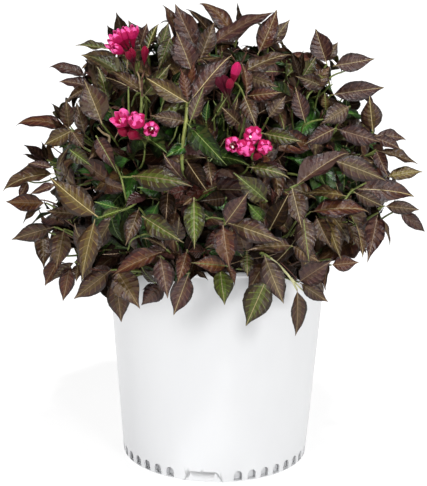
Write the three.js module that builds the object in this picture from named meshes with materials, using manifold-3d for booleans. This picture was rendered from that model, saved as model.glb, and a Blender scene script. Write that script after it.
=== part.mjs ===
// A dark-leaved flowering shrub (weigela) growing in its tapered white nursery pot.
// Millimetres, +Z up, front towards -Y. The origin is the middle of the pot's underside.
import * as THREE from "three";
import { mergeVertices } from "three/addons/utils/BufferGeometryUtils.js";
import Module from "manifold-3d";

const wasm = await Module();
wasm.setup();

// ---- Pot: three-gallon class, thin moulded wall ----
const POT_HEIGHT = 248;
const BASE_RADIUS = 107.5; // outside, at the floor
const WALL_SLOPE = 0.0763; // growth of the radius per mm of height
const WALL = 2;
const LIP = 3.4; // how far the rolled lip stands out
const LIP_DEPTH = 7;
const FOOT_HEIGHT = 12; // the middle of the underside is this far off the floor
const FOOT_INNER = 92.5;
const POT_SEGMENTS = 40;

const NOTCHES = 3; // breaks in the foot ring
const NOTCH_ANGLE = -96.7; // first notch, degrees from +X
const NOTCH_TOP = 30; // width at its top
const NOTCH_BOTTOM = 47; // width at the floor
const DRAINS_BETWEEN = 10; // drain slots between two notches
const DRAIN_START = 20.8; // degrees from a notch to the first slot
const DRAIN_HALF_WIDTH = 4.9;
const DRAIN_SILL = 3;
const DRAIN_TOP = 13.4;

// ---- Potting mix and the short stem in it ----
const SOIL_TOP = 222;
const SOIL_UNEVEN = 2.2;
const GAP = 0.35; // between touching solids
const STEM_HEIGHT = 32;
const STEM_FLARE = 25;
const STEM_RADIUS = 15;

// ---- Crown: a dome of foliage round the point (0, 0, CROWN_Z) ----
const CROWN_Z = 296;
const TIERS = [
  // name, how many, elevation of the centres, their distance from the crown's middle,
  // half sizes outwards, sideways and up the slope, first azimuth, seed
  { name: "skirt", count: 10, elevation: -13.9, distance: 188, half: [57, 76, 74], first: 0, seed: 11 },
  { name: "shoulder", count: 8, elevation: 23.5, distance: 176, half: [62, 80, 77], first: 0, seed: 23 },
  { name: "upper", count: 5, elevation: 57, distance: 170, half: [62, 80, 74], first: -90, seed: 37 },
  { name: "top", count: 1, elevation: 90, distance: 168, half: [60, 78, 78], first: 0, seed: 41 },
];
const AZIMUTH_JITTER = 3.2; // degrees
const REACH_JITTER = 0.018;
const UNEVEN = 0.09; // lumps on a mass, as a part of its size
const MASS_GAP = 0.8; // half the gap between two neighbouring masses

// ---- Limbs ----
const CANE_BASE = 4.3;
const CANE_TIP = 2.8;
const BOUGH_BASE = 2.9;
const BOUGH_TIP = 1.7;

const rad = THREE.MathUtils.degToRad;

// A repeatable stream of numbers from 0 to 1.
function stream(seed) {
  let a = seed >>> 0;
  return () => {
    a = (a + 0x6d2b79f5) >>> 0;
    let t = a;
    t = Math.imul(t ^ (t >>> 15), t | 1);
    t ^= t + Math.imul(t ^ (t >>> 7), t | 61);
    return ((t ^ (t >>> 14)) >>> 0) / 4294967296;
  };
}

// ---- Geometry to solid and back ----
function solid(geometry) {
  const bare = geometry.clone();
  bare.deleteAttribute("normal");
  bare.deleteAttribute("uv");
  const merged = mergeVertices(bare, 1e-3);
  const index = merged.index.array;
  const kept = [];
  for (let i = 0; i < index.length; i += 3) {
    const [a, b, c] = [index[i], index[i + 1], index[i + 2]];
    if (a !== b && b !== c && c !== a) kept.push(a, b, c);
  }
  const make = (triVerts) =>
    new wasm.Manifold(
      new wasm.Mesh({
        numProp: 3,
        vertProperties: new Float32Array(merged.attributes.position.array),
        triVerts: new Uint32Array(triVerts),
      }),
    );
  const made = make(kept);
  if (made.volume() > 0) return made;
  for (let i = 0; i < kept.length; i += 3)
    [kept[i + 1], kept[i + 2]] = [kept[i + 2], kept[i + 1]];
  return make(kept);
}

function geometryOf(made) {
  const mesh = made.getMesh();
  const geometry = new THREE.BufferGeometry();
  const flat = new Float32Array(mesh.triVerts.length * 3);
  mesh.triVerts.forEach((v, i) => {
    for (let k = 0; k < 3; k++)
      flat[i * 3 + k] = mesh.vertProperties[v * mesh.numProp + k];
  });
  geometry.setAttribute("position", new THREE.BufferAttribute(flat, 3));
  geometry.computeVertexNormals();
  return geometry;
}

// The largest piece of a solid, without slivers that a cut may have left.
function mainPiece(made) {
  return made
    .decompose()
    .reduce((best, piece) => (piece.volume() > best.volume() ? piece : best));
}

const group = new THREE.Group();

function addPart(name, made, color, roughness) {
  const mesh = new THREE.Mesh(
    geometryOf(made),
    new THREE.MeshStandardMaterial({ color, roughness, metalness: 0, flatShading: true }),
  );
  mesh.name = name;
  group.add(mesh);
}

// A profile of [radius, height] pairs turned about the Z axis.
function turned(profile, segments) {
  const points = profile.map(([r, z]) => new THREE.Vector2(r, z));
  const geometry = new THREE.LatheGeometry(points, segments);
  geometry.rotateX(Math.PI / 2);
  return solid(geometry);
}

// An outline of [across, up] pairs, pushed outwards from the axis at an azimuth.
function radialPrism(outline, azimuth, from, to) {
  const shape = new THREE.Shape(outline.map(([x, z]) => new THREE.Vector2(x, z)));
  const geometry = new THREE.ExtrudeGeometry(shape, { depth: to - from, bevelEnabled: false });
  geometry.rotateX(Math.PI / 2); // outline up along Z, depth along -Y
  geometry.translate(0, -from, 0);
  geometry.rotateZ(rad(azimuth + 90));
  return solid(geometry);
}

// ---- The pot ----
const wallAt = (z) => BASE_RADIUS + WALL_SLOPE * z;
const lipFoot = POT_HEIGHT - LIP_DEPTH;
const outerProfile = [
  [0, FOOT_HEIGHT],
  [FOOT_INNER - 3, FOOT_HEIGHT],
  [FOOT_INNER, 0],
  [BASE_RADIUS - 2.8, 0],
  [wallAt(2.8), 2.8],
  [wallAt(lipFoot), lipFoot],
  [wallAt(lipFoot) + LIP, lipFoot + 1.6],
  [wallAt(lipFoot) + LIP, POT_HEIGHT],
];
const innerProfile = [
  [wallAt(POT_HEIGHT) - WALL, POT_HEIGHT],
  [wallAt(5) - WALL, 5],
  [BASE_RADIUS - 3.6, WALL + 0.3],
  [FOOT_INNER + 2, WALL + 0.3],
  [FOOT_INNER - 1, FOOT_HEIGHT + WALL],
  [0, FOOT_HEIGHT + WALL],
];

function notchOutline(extra) {
  const top = NOTCH_TOP / 2 + extra;
  const low = NOTCH_BOTTOM / 2 + extra;
  const height = FOOT_HEIGHT + (extra > 0 ? WALL : 0);
  return [
    [-low - 3, -2],
    [-low + 2.5, 1.2],
    [-top - 1.5, height - 2.5],
    [-top + 2, height],
    [top - 2, height],
    [top + 1.5, height - 2.5],
    [low - 2.5, 1.2],
    [low + 3, -2],
  ];
}

function drainOutline() {
  const spring = DRAIN_TOP - DRAIN_HALF_WIDTH;
  const outline = [
    [-DRAIN_HALF_WIDTH, DRAIN_SILL],
    [DRAIN_HALF_WIDTH, DRAIN_SILL],
  ];
  for (let i = 0; i <= 2; i++) {
    const a = (Math.PI * i) / 2;
    outline.push([DRAIN_HALF_WIDTH * Math.cos(a), spring + DRAIN_HALF_WIDTH * Math.sin(a)]);
  }
  return outline;
}

const envelope = turned([...outerProfile, [0, POT_HEIGHT]], POT_SEGMENTS);
let pot = turned([...outerProfile, ...innerProfile], POT_SEGMENTS);
for (let n = 0; n < NOTCHES; n++) {
  const azimuth = NOTCH_ANGLE + (360 / NOTCHES) * n;
  const bridge = radialPrism(notchOutline(WALL), azimuth, FOOT_INNER - 2, BASE_RADIUS + 4).intersect(envelope);
  pot = pot.add(bridge);
}
for (let n = 0; n < NOTCHES; n++) {
  const azimuth = NOTCH_ANGLE + (360 / NOTCHES) * n;
  pot = pot.subtract(radialPrism(notchOutline(0), azimuth, FOOT_INNER - 6, BASE_RADIUS + 6));
  for (let k = 0; k < DRAINS_BETWEEN; k++) {
    const step = (360 / NOTCHES - 2 * DRAIN_START) / (DRAINS_BETWEEN - 1);
    const a = azimuth + DRAIN_START + step * k;
    pot = pot.subtract(radialPrism(drainOutline(), a, BASE_RADIUS - 6, BASE_RADIUS + 6));
  }
}
addPart("pot", mainPiece(pot), 0xf1f2f5, 0.42);

// ---- Potting mix: fills the pot to a little under the lip, uneven on top ----
const soilFoot = FOOT_HEIGHT + WALL + GAP;
const soilRadius = (z) => wallAt(z) - WALL - GAP;
const soilGeometry = new THREE.LatheGeometry(
  [
    [0, soilFoot],
    [soilRadius(soilFoot), soilFoot],
    [soilRadius(SOIL_TOP - 6), SOIL_TOP - 6],
    [soilRadius(SOIL_TOP) - 2, SOIL_TOP - 2],
    [90, SOIL_TOP],
    [60, SOIL_TOP + 1],
    [32, SOIL_TOP + 1],
    [0, SOIL_TOP + 1],
  ].map(([r, z]) => new THREE.Vector2(r, z)),
  20,
);
soilGeometry.rotateX(Math.PI / 2);
{
  const p = soilGeometry.attributes.position;
  for (let i = 0; i < p.count; i++) {
    const [x, y, z] = [p.getX(i), p.getY(i), p.getZ(i)];
    const r = Math.hypot(x, y);
    if (z > SOIL_TOP - 3 && r > 40 && r < 100)
      p.setZ(i, z + SOIL_UNEVEN * Math.sin(x * 0.071 + 1.3) * Math.cos(y * 0.083));
  }
}
const soil = solid(soilGeometry);
addPart("potting_mix", soil, 0x3a2b22, 0.95);

// ---- The crown's places ----
const middle = new THREE.Vector3(0, 0, CROWN_Z);

// Where each mass sits, with its own axes: outwards, sideways and up the slope.
const cells = [];
for (const tier of TIERS) {
  const next = stream(tier.seed);
  for (let i = 0; i < tier.count; i++) {
    const alone = tier.count === 1;
    const azimuth = tier.first + (360 / tier.count) * i + (alone ? 0 : (next() - 0.5) * 2 * AZIMUTH_JITTER);
    const reach = 1 + (next() - 0.5) * 2 * REACH_JITTER;
    const out = new THREE.Vector3(
      Math.cos(rad(tier.elevation)) * Math.cos(rad(azimuth)),
      Math.cos(rad(tier.elevation)) * Math.sin(rad(azimuth)),
      Math.sin(rad(tier.elevation)),
    );
    const side = new THREE.Vector3(-Math.sin(rad(azimuth)), Math.cos(rad(azimuth)), 0);
    const up = new THREE.Vector3().crossVectors(out, side).normalize();
    cells.push({
      name: alone ? "foliage_" + tier.name : "foliage_" + tier.name + "_" + (i + 1),
      tier: tier.name,
      number: i + 1,
      azimuth,
      out,
      side,
      up,
      centre: middle.clone().addScaledVector(out, tier.distance * reach),
      half: tier.half,
      phase: [next() * 6.283, next() * 6.283, next() * 6.283, next() * 6.283],
    });
  }
}

// Lumps on a mass: two sets of waves over its surface.
function lumps(d, phase) {
  const broad = Math.sin(3.1 * d.x + phase[0]) * Math.cos(2.7 * d.y + phase[1]) + Math.sin(3.3 * d.z + phase[2]);
  const fine = Math.sin(7.3 * d.x + phase[3]) * Math.sin(6.7 * d.y + phase[0]) * Math.cos(7.9 * d.z + phase[1]);
  return 0.45 * broad + 0.75 * fine;
}

function blob(cell) {
  const geometry = new THREE.SphereGeometry(1, 8, 7);
  geometry.rotateZ(-Math.PI / 2); // its pole points outwards
  const p = geometry.attributes.position;
  const d = new THREE.Vector3();
  const at = new THREE.Vector3();
  for (let i = 0; i < p.count; i++) {
    d.fromBufferAttribute(p, i).normalize();
    const f = 1 + UNEVEN * lumps(d, cell.phase);
    at.copy(cell.centre)
      .addScaledVector(cell.out, d.x * cell.half[0] * f)
      .addScaledVector(cell.side, d.y * cell.half[1] * f)
      .addScaledVector(cell.up, d.z * cell.half[2] * f);
    p.setXYZ(i, at.x, at.y, at.z);
  }
  return solid(geometry);
}

// A large block that covers everything past the plane midway between two cells.
function farSide(cell, other) {
  const normal = other.centre.clone().sub(cell.centre);
  const between = normal.length() / 2 - MASS_GAP;
  normal.normalize();
  const geometry = new THREE.BoxGeometry(400, 400, 200);
  geometry.translate(0, 0, 100);
  geometry.applyQuaternion(new THREE.Quaternion().setFromUnitVectors(new THREE.Vector3(0, 0, 1), normal));
  const at = cell.centre.clone().addScaledVector(normal, between);
  geometry.translate(at.x, at.y, at.z);
  return solid(geometry);
}

// The pot with room round it, which the low masses keep clear of.
const potRoom = turned(
  [
    [0, -5],
    [wallAt(0) + 4, -5],
    [wallAt(lipFoot) + LIP + 3, lipFoot - 6],
    [wallAt(lipFoot) + LIP + 3, POT_HEIGHT + 3],
    [0, POT_HEIGHT + 3],
  ],
  20,
);

for (const cell of cells) {
  let mass = blob(cell);
  for (const other of cells) {
    if (other === cell || other.centre.distanceTo(cell.centre) > 172) continue;
    mass = mass.subtract(farSide(cell, other));
  }
  if (cell.tier === "skirt") mass = mass.subtract(potRoom);
  cell.mass = mainPiece(mass);
}

// The whole crown is centred over the pot.
const spread = [0, 1].map((k) => {
  const low = Math.min(...cells.map((cell) => cell.mass.boundingBox().min[k]));
  const high = Math.max(...cells.map((cell) => cell.mass.boundingBox().max[k]));
  return (low + high) / 2;
});
for (const cell of cells) {
  const moved = geometryOf(cell.mass).translate(-spread[0], -spread[1], 0);
  cell.mass = mainPiece(solid(moved).subtract(potRoom));
  cell.centre.x -= spread[0];
  cell.centre.y -= spread[1];
}

// ---- Stem and limbs ----
// A tapering round limb along a curve, its ends closed.
function limb(curve, from, to, sides, steps) {
  const frames = curve.computeFrenetFrames(steps, false);
  const position = [];
  for (let s = 0; s <= steps; s++) {
    const at = curve.getPointAt(s / steps);
    const r = from + (to - from) * (s / steps);
    for (let k = 0; k < sides; k++) {
      const a = (2 * Math.PI * k) / sides;
      const p = at
        .clone()
        .addScaledVector(frames.normals[s], r * Math.cos(a))
        .addScaledVector(frames.binormals[s], r * Math.sin(a));
      position.push(p.x, p.y, p.z);
    }
  }
  const index = [];
  for (let s = 0; s < steps; s++)
    for (let k = 0; k < sides; k++) {
      const a = s * sides + k;
      const b = s * sides + ((k + 1) % sides);
      index.push(a, b, a + sides, b, b + sides, a + sides);
    }
  for (let k = 1; k < sides - 1; k++) {
    index.push(0, k + 1, k);
    const e = steps * sides;
    index.push(e, e + k, e + k + 1);
  }
  const geometry = new THREE.BufferGeometry();
  geometry.setAttribute("position", new THREE.Float32BufferAttribute(position, 3));
  geometry.setIndex(index);
  return solid(geometry);
}

// The short stem: flared where it meets the potting mix, a little oval.
function stemSolid(grow) {
  const foot = SOIL_TOP + 1 + GAP;
  const geometry = new THREE.LatheGeometry(
    [
      [0, foot - grow],
      [STEM_FLARE + grow, foot - grow],
      [STEM_FLARE * 0.78 + grow, foot + 6],
      [STEM_RADIUS + grow, foot + STEM_HEIGHT * 0.45],
      [STEM_RADIUS * 0.94 + grow, foot + STEM_HEIGHT * 0.8],
      [STEM_RADIUS * 0.6 + grow, foot + STEM_HEIGHT + grow],
      [0, foot + STEM_HEIGHT + grow],
    ].map(([r, z]) => new THREE.Vector2(r, z)),
    14,
  );
  geometry.rotateX(Math.PI / 2);
  const p = geometry.attributes.position;
  for (let i = 0; i < p.count; i++) {
    const a = Math.atan2(p.getY(i), p.getX(i));
    const lobe = 1 + 0.09 * Math.cos(3 * a + 0.6) + 0.04 * Math.sin(5 * a);
    p.setX(i, p.getX(i) * lobe);
    p.setY(i, p.getY(i) * lobe * 0.93);
  }
  return solid(geometry);
}
addPart("stem_base", stemSolid(0), 0x6b5341, 0.85);
const stemRoom = stemSolid(GAP);

// A point at an azimuth, a distance from the axis and a height.
const polar = (azimuth, r, z) => new THREE.Vector3(r * Math.cos(rad(azimuth)), r * Math.sin(rad(azimuth)), z);
const bezier = (a, b, c, d) => new THREE.CubicBezierCurve3(a, b, c, d);
// Where a limb stops inside the mass it carries, before it is cut back to the mass's skin.
const heart = (cell) => cell.centre.clone().addScaledVector(cell.out, -cell.half[0] * 0.35);
const tierCells = (tier) => cells.filter((cell) => cell.tier === tier);

const stemTop = SOIL_TOP + 1 + GAP + STEM_HEIGHT;
const canes = tierCells("shoulder").map((cell, i) => ({
  name: "cane_" + (i + 1),
  cell,
  curve: bezier(
    polar(cell.azimuth, 8, stemTop - (i % 2 ? 16 : 10)),
    polar(cell.azimuth, 26, stemTop + 26),
    polar(cell.azimuth, 64, stemTop + 66),
    heart(cell),
  ),
}));
const leaderCell = cells.find((cell) => cell.tier === "top");
const leader = {
  name: "cane_centre",
  cell: leaderCell,
  curve: bezier(
    new THREE.Vector3(0, 0, stemTop - 8),
    new THREE.Vector3(4, -3, stemTop + 60),
    new THREE.Vector3(-5, 5, stemTop + 120),
    heart(leaderCell),
  ),
};
for (const cane of [...canes, leader]) {
  cane.whole = limb(cane.curve, CANE_BASE, CANE_TIP, 5, 5);
  cane.room = limb(cane.curve, CANE_BASE + GAP * 1.4, CANE_TIP + GAP * 1.4, 5, 5);
  addPart(cane.name, mainPiece(cane.whole.subtract(stemRoom).subtract(blobRoom(cane.cell))), 0x7d6045, 0.8);
}

// The room a mass takes, a hair larger than its skin.
function blobRoom(cell) {
  const p = geometryOf(cell.mass);
  const attribute = p.attributes.position;
  const v = new THREE.Vector3();
  for (let i = 0; i < attribute.count; i++) {
    v.fromBufferAttribute(attribute, i).sub(cell.centre);
    v.setLength(v.length() + 2 * GAP).add(cell.centre);
    attribute.setXYZ(i, v.x, v.y, v.z);
  }
  return solid(p);
}

function nearest(list, azimuth) {
  const turn = (a) => Math.abs(((a - azimuth + 540) % 360) - 180);
  return list.reduce((best, cane) => (turn(cane.cell.azimuth) < turn(best.cell.azimuth) ? cane : best));
}

function addBough(name, from, start, cell, leave, arrive) {
  const curve = bezier(start, leave, arrive, heart(cell));
  const made = limb(curve, BOUGH_BASE, BOUGH_TIP, 5, 4).subtract(from.room).subtract(blobRoom(cell));
  addPart(name, mainPiece(made), 0x84694a, 0.8);
}

tierCells("skirt").forEach((cell, i) => {
  const cane = nearest(canes, cell.azimuth);
  const start = cane.curve.getPointAt(i % 2 ? 0.42 : 0.3);
  const r = Math.hypot(start.x, start.y);
  addBough(
    "bough_skirt_" + (i + 1),
    cane,
    start,
    cell,
    polar((cell.azimuth + cane.cell.azimuth + (Math.abs(cell.azimuth - cane.cell.azimuth) > 180 ? 360 : 0)) / 2, r + 34, start.z + 4),
    polar(cell.azimuth, 126, 284),
  );
});
tierCells("upper").forEach((cell, i) => {
  const start = leader.curve.getPointAt(0.3 + 0.06 * i);
  addBough(
    "bough_upper_" + (i + 1),
    leader,
    start,
    cell,
    polar(cell.azimuth, 20, start.z + 16),
    polar(cell.azimuth, 66, 378),
  );
});

for (const cell of cells) {
  const leafColor = { skirt: 0x54413b, shoulder: 0x5a4441, upper: 0x614a45, top: 0x664c44 }[cell.tier];
  addPart(cell.name, cell.mass, leafColor, 0.6);
}

export default group;
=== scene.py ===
# Looks of the potted weigela shrub: pot, potting mix, canes, twigs, leaves and flowers, grown round the CAD frame.
# Metres, +Z up, front towards -Y. Numbers marked mm are turned into metres where they are used.
import math

import bpy
import numpy as np
from mathutils import Matrix, Vector


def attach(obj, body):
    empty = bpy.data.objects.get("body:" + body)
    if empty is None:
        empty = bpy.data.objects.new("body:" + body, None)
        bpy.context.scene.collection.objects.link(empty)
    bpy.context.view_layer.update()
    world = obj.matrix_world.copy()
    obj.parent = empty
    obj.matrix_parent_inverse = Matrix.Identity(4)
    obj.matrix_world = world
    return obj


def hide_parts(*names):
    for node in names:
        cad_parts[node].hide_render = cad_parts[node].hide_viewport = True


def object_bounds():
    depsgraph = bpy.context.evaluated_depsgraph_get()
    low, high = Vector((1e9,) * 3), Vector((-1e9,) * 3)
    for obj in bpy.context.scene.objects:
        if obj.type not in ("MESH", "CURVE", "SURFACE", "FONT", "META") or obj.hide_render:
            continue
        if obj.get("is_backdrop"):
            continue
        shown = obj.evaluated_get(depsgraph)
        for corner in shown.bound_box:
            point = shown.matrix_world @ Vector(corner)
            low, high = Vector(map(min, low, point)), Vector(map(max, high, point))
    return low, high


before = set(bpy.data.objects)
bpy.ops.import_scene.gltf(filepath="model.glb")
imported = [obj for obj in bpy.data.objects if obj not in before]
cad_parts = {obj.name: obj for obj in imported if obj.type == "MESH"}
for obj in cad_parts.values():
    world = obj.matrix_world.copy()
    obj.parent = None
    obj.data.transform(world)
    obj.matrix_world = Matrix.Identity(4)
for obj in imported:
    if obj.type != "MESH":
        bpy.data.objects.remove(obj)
cad_low, cad_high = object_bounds()

MM = 0.001
UP = np.array([0.0, 0.0, 1.0])

# ---------------------------------------------------------------- camera
# The photograph's viewpoint: 427 x 486 picture, 100 mm lens on its long side.
CAM_AT = np.array([-0.0046, -1.5077, 0.6083])
CAM_PITCH = math.radians(13.41)
CAM_ROLL = math.radians(0.8)
CAM_F = 1350.0
CAM_MID = (213.5, 243.0)

camera = bpy.data.objects.new("camera", bpy.data.cameras.new("camera"))
bpy.context.scene.collection.objects.link(camera)
camera.data.lens = 100
camera.data.sensor_width = 36
camera.data.sensor_fit = "AUTO"
camera.data.dof.use_dof = False
bpy.context.scene.camera = camera

FORWARD = np.array([0, math.cos(CAM_PITCH), -math.sin(CAM_PITCH)])
LEVEL_UP, LEVEL_RIGHT = np.array([0, math.sin(CAM_PITCH), math.cos(CAM_PITCH)]), np.array([1.0, 0, 0])
CAM_UP = math.cos(CAM_ROLL) * LEVEL_UP - math.sin(CAM_ROLL) * LEVEL_RIGHT
RIGHT = math.cos(CAM_ROLL) * LEVEL_RIGHT + math.sin(CAM_ROLL) * LEVEL_UP
camera.matrix_world = Matrix([[*row, at] for row, at in zip(np.stack([RIGHT, CAM_UP, -FORWARD], 1).tolist(), CAM_AT.tolist())] + [[0, 0, 0, 1]])


def pixels(points):
    """Where points fall in the photograph's frame, and their depth."""
    d = np.asarray(points, float) - CAM_AT
    depth = d @ FORWARD
    return np.stack([CAM_MID[0] + CAM_F * (d @ RIGHT) / depth, CAM_MID[1] - CAM_F * (d @ CAM_UP) / depth], -1), depth


CROWN = np.array([0.0, 0.0, 0.296])


def on_crown(px, py, r):
    """The point that a pixel sees on a ball of radius r round the crown's middle, or the nearest one where it looks past it."""
    ray = FORWARD + RIGHT * (px - CAM_MID[0]) / CAM_F + CAM_UP * (CAM_MID[1] - py) / CAM_F
    ray /= np.linalg.norm(ray)
    t = (CROWN - CAM_AT) @ ray
    near = CAM_AT + ray * t
    off = np.linalg.norm(near - CROWN)
    return near - ray * math.sqrt(r * r - off * off) if off < r else near


# ---------------------------------------------------------------- mesh helpers
def unit(v):
    v = np.asarray(v, float)
    return v / np.maximum(np.linalg.norm(v, axis=-1, keepdims=True), 1e-12)


def square_to(v, axis):
    """v made square to axis."""
    return unit(v - axis * np.sum(v * axis, -1, keepdims=True))


class Batch:
    """Vertices and faces gathered from many small shapes, for one joined mesh."""

    def __init__(self):
        self.verts, self.loops, self.sizes, self.slots, self.uvs, self.rows = [], [], [], [], [], []
        self.count = 0

    def add(self, verts, faces, slot, uv=None, row=None):
        """faces: (n, k) corner numbers; slot: one number or one for each face; uv: one pair for each vertex;
        row: a number for each vertex, where edges inside a row are creased, or -1."""
        verts, faces = np.asarray(verts, float).reshape(-1, 3), np.asarray(faces, np.int64)
        self.loops.append((faces + self.count).ravel())
        self.sizes.append(np.full(len(faces), faces.shape[1], np.int64))
        self.slots.append(np.broadcast_to(np.asarray(slot, np.int64), (len(faces),)).copy())
        uv = np.zeros((len(verts), 2)) if uv is None else np.asarray(uv, float).reshape(-1, 2)
        self.uvs.append(uv[faces.ravel()])
        self.verts.append(verts)
        self.rows.append(np.full(len(verts), -1, np.int64) if row is None else row)
        self.count += len(verts)

    def build(self, name, materials, smooth=True):
        verts, loops = np.concatenate(self.verts), np.concatenate(self.loops)
        sizes, slots, uvs = np.concatenate(self.sizes), np.concatenate(self.slots), np.concatenate(self.uvs)
        mesh = bpy.data.meshes.new(name)
        mesh.vertices.add(len(verts))
        mesh.vertices.foreach_set("co", verts.astype(np.float32).ravel())
        mesh.loops.add(len(loops))
        mesh.loops.foreach_set("vertex_index", loops.astype(np.int32))
        mesh.polygons.add(len(sizes))
        mesh.polygons.foreach_set("loop_start", (np.cumsum(sizes) - sizes).astype(np.int32))
        mesh.polygons.foreach_set("material_index", slots.astype(np.int32))
        mesh.polygons.foreach_set("use_smooth", np.full(len(sizes), smooth))
        mesh.uv_layers.new(name="UVMap").data.foreach_set("uv", uvs.astype(np.float32).ravel())
        for m in materials:
            mesh.materials.append(m)
        mesh.update(calc_edges=True)
        mesh.validate()
        row = np.concatenate(self.rows)
        if (row >= 0).any():
            ends = np.empty(len(mesh.edges) * 2, np.int32)
            mesh.edges.foreach_get("vertices", ends)
            first, second = row[ends[::2]], row[ends[1::2]]
            creased = mesh.attributes.new("sharp_edge", "BOOLEAN", "EDGE")
            creased.data.foreach_set("value", (first == second) & (first >= 0))
        obj = bpy.data.objects.new(name, mesh)
        bpy.context.scene.collection.objects.link(obj)
        return obj


def tube(path, radii, sides, lump=None):
    """A round limb along points: its vertices and quads, with its ends left open for add_tube to close."""
    path, radii = np.asarray(path, float), np.asarray(radii, float)
    n = len(path)
    tangent = unit(np.gradient(path, axis=0))
    normal = np.zeros((n, 3))
    start = np.cross(tangent[0], [0.31, 0.94, 0.12])
    normal[0] = unit(start)
    for i in range(1, n):
        normal[i] = square_to(normal[i - 1], tangent[i])
    other = np.cross(tangent, normal)
    a = np.arange(sides) * 2 * math.pi / sides
    r = np.broadcast_to(radii[:, None], (n, sides)).copy()
    if lump is not None:
        r *= lump(np.arange(n)[:, None] / (n - 1), a[None, :])
    verts = path[:, None] + r[..., None] * (normal[:, None] * np.cos(a)[None, :, None] + other[:, None] * np.sin(a)[None, :, None])
    i, k = np.meshgrid(np.arange(n - 1), np.arange(sides), indexing="ij")
    k2 = (k + 1) % sides
    quads = np.stack([i * sides + k, i * sides + k2, (i + 1) * sides + k2, (i + 1) * sides + k], -1).reshape(-1, 4)
    uv = np.stack(np.broadcast_arrays(a[None, :] / (2 * math.pi), np.arange(n)[:, None] / (n - 1)), -1)
    return verts.reshape(-1, 3), quads, uv.reshape(-1, 2)


def add_tube(batch, path, radii, sides, slot, lump=None):
    verts, quads, uv = tube(path, radii, sides, lump)
    batch.add(verts, quads, np.repeat(slot, sides) if np.ndim(slot) else slot, uv)
    n = len(path)
    for end, ring, flip in ((path[0], 0, True), (path[-1], (n - 1) * sides, False)):
        ring_points = verts[ring : ring + sides]
        tip = np.asarray(end) + (0.3 * radii[-1]) * (unit(path[-1] - path[-2]) if not flip else unit(path[0] - path[1]))
        k = np.arange(sides)
        tris = np.stack([k, (k + 1) % sides, np.full(sides, sides)], -1)
        if flip:
            tris = tris[:, ::-1]
        batch.add(np.vstack([ring_points, tip]), tris, slot[0 if flip else -1] if np.ndim(slot) else slot)


def bezier(a, b, c, d, n):
    t = np.linspace(0, 1, n)[:, None]
    return (1 - t) ** 3 * a + 3 * t * (1 - t) ** 2 * b + 3 * t * t * (1 - t) * c + t**3 * d


def along(path, t):
    """Points at shares of a path's length, and the directions there."""
    step = np.linalg.norm(np.diff(path, axis=0), axis=1)
    at = np.concatenate([[0], np.cumsum(step)]) / step.sum()
    t = np.atleast_1d(t)
    points = np.stack([np.interp(t, at, path[:, k]) for k in range(3)], -1)
    ways = unit(np.gradient(path, axis=0))
    return points, unit(np.stack([np.interp(t, at, ways[:, k]) for k in range(3)], -1))


# ---------------------------------------------------------------- materials
def material(name, colour, rough=0.5, specular=0.5, sheen=0.0, coat=0.0):
    m = bpy.data.materials.new(name)
    m.use_nodes = True
    p = m.node_tree.nodes["Principled BSDF"]
    p.inputs["Base Color"].default_value = (*colour, 1)
    p.inputs["Roughness"].default_value = rough
    p.inputs["Specular IOR Level"].default_value = specular
    p.inputs["Sheen Weight"].default_value = sheen
    p.inputs["Coat Weight"].default_value = coat
    m.diffuse_color = (*colour, 1)
    return m, m.node_tree, p


def node(tree, kind, **values):
    n = tree.nodes.new(kind)
    for k, v in values.items():
        if k in n.inputs:
            n.inputs[k].default_value = v
        else:
            setattr(n, k, v)
    return n


def link(tree, a, b):
    tree.links.new(a, b)


def spread(tree, source, low, high, target):
    """A 0 to 1 value mapped onto low to high."""
    r = node(tree, "ShaderNodeMapRange")
    r.inputs["To Min"].default_value, r.inputs["To Max"].default_value = low, high
    link(tree, source, r.inputs["Value"])
    link(tree, r.outputs["Result"], target)
    return r


def leaf_material(name, colour, rough, vein=1.0, specular=0.42):
    """A satin leaf skin: plain colour, with its blade quilted between the veins and an uneven gloss."""
    m, t, p = material(name, colour, rough, specular)
    place = node(t, "ShaderNodeTexCoord")
    parts = node(t, "ShaderNodeSeparateXYZ")
    link(t, place.outputs["UV"], parts.inputs[0])
    turns = node(t, "ShaderNodeMath", operation="MULTIPLY_ADD")
    link(t, parts.outputs["Y"], turns.inputs[0])
    turns.inputs[1].default_value = 2 * math.pi / 0.12
    turns.inputs[2].default_value = -2 * math.pi * 0.20 / 0.12
    wave = node(t, "ShaderNodeMath", operation="SINE")
    link(t, turns.outputs[0], wave.inputs[0])
    blotch = node(t, "ShaderNodeTexNoise")
    blotch.inputs["Scale"].default_value = 260
    blotch.inputs["Detail"].default_value = 4
    link(t, place.outputs["Object"], blotch.inputs["Vector"])
    spread(t, blotch.outputs["Fac"], rough - 0.14, rough + 0.14, p.inputs["Roughness"])
    both = node(t, "ShaderNodeMath", operation="MULTIPLY_ADD")
    link(t, wave.outputs[0], both.inputs[0])
    both.inputs[1].default_value = 0.26
    link(t, blotch.outputs["Fac"], both.inputs[2])
    bump = node(t, "ShaderNodeBump", Strength=1.0 * vein, Distance=0.0014)
    link(t, both.outputs[0], bump.inputs["Height"])
    link(t, bump.outputs["Normal"], p.inputs["Normal"])
    return m


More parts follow.
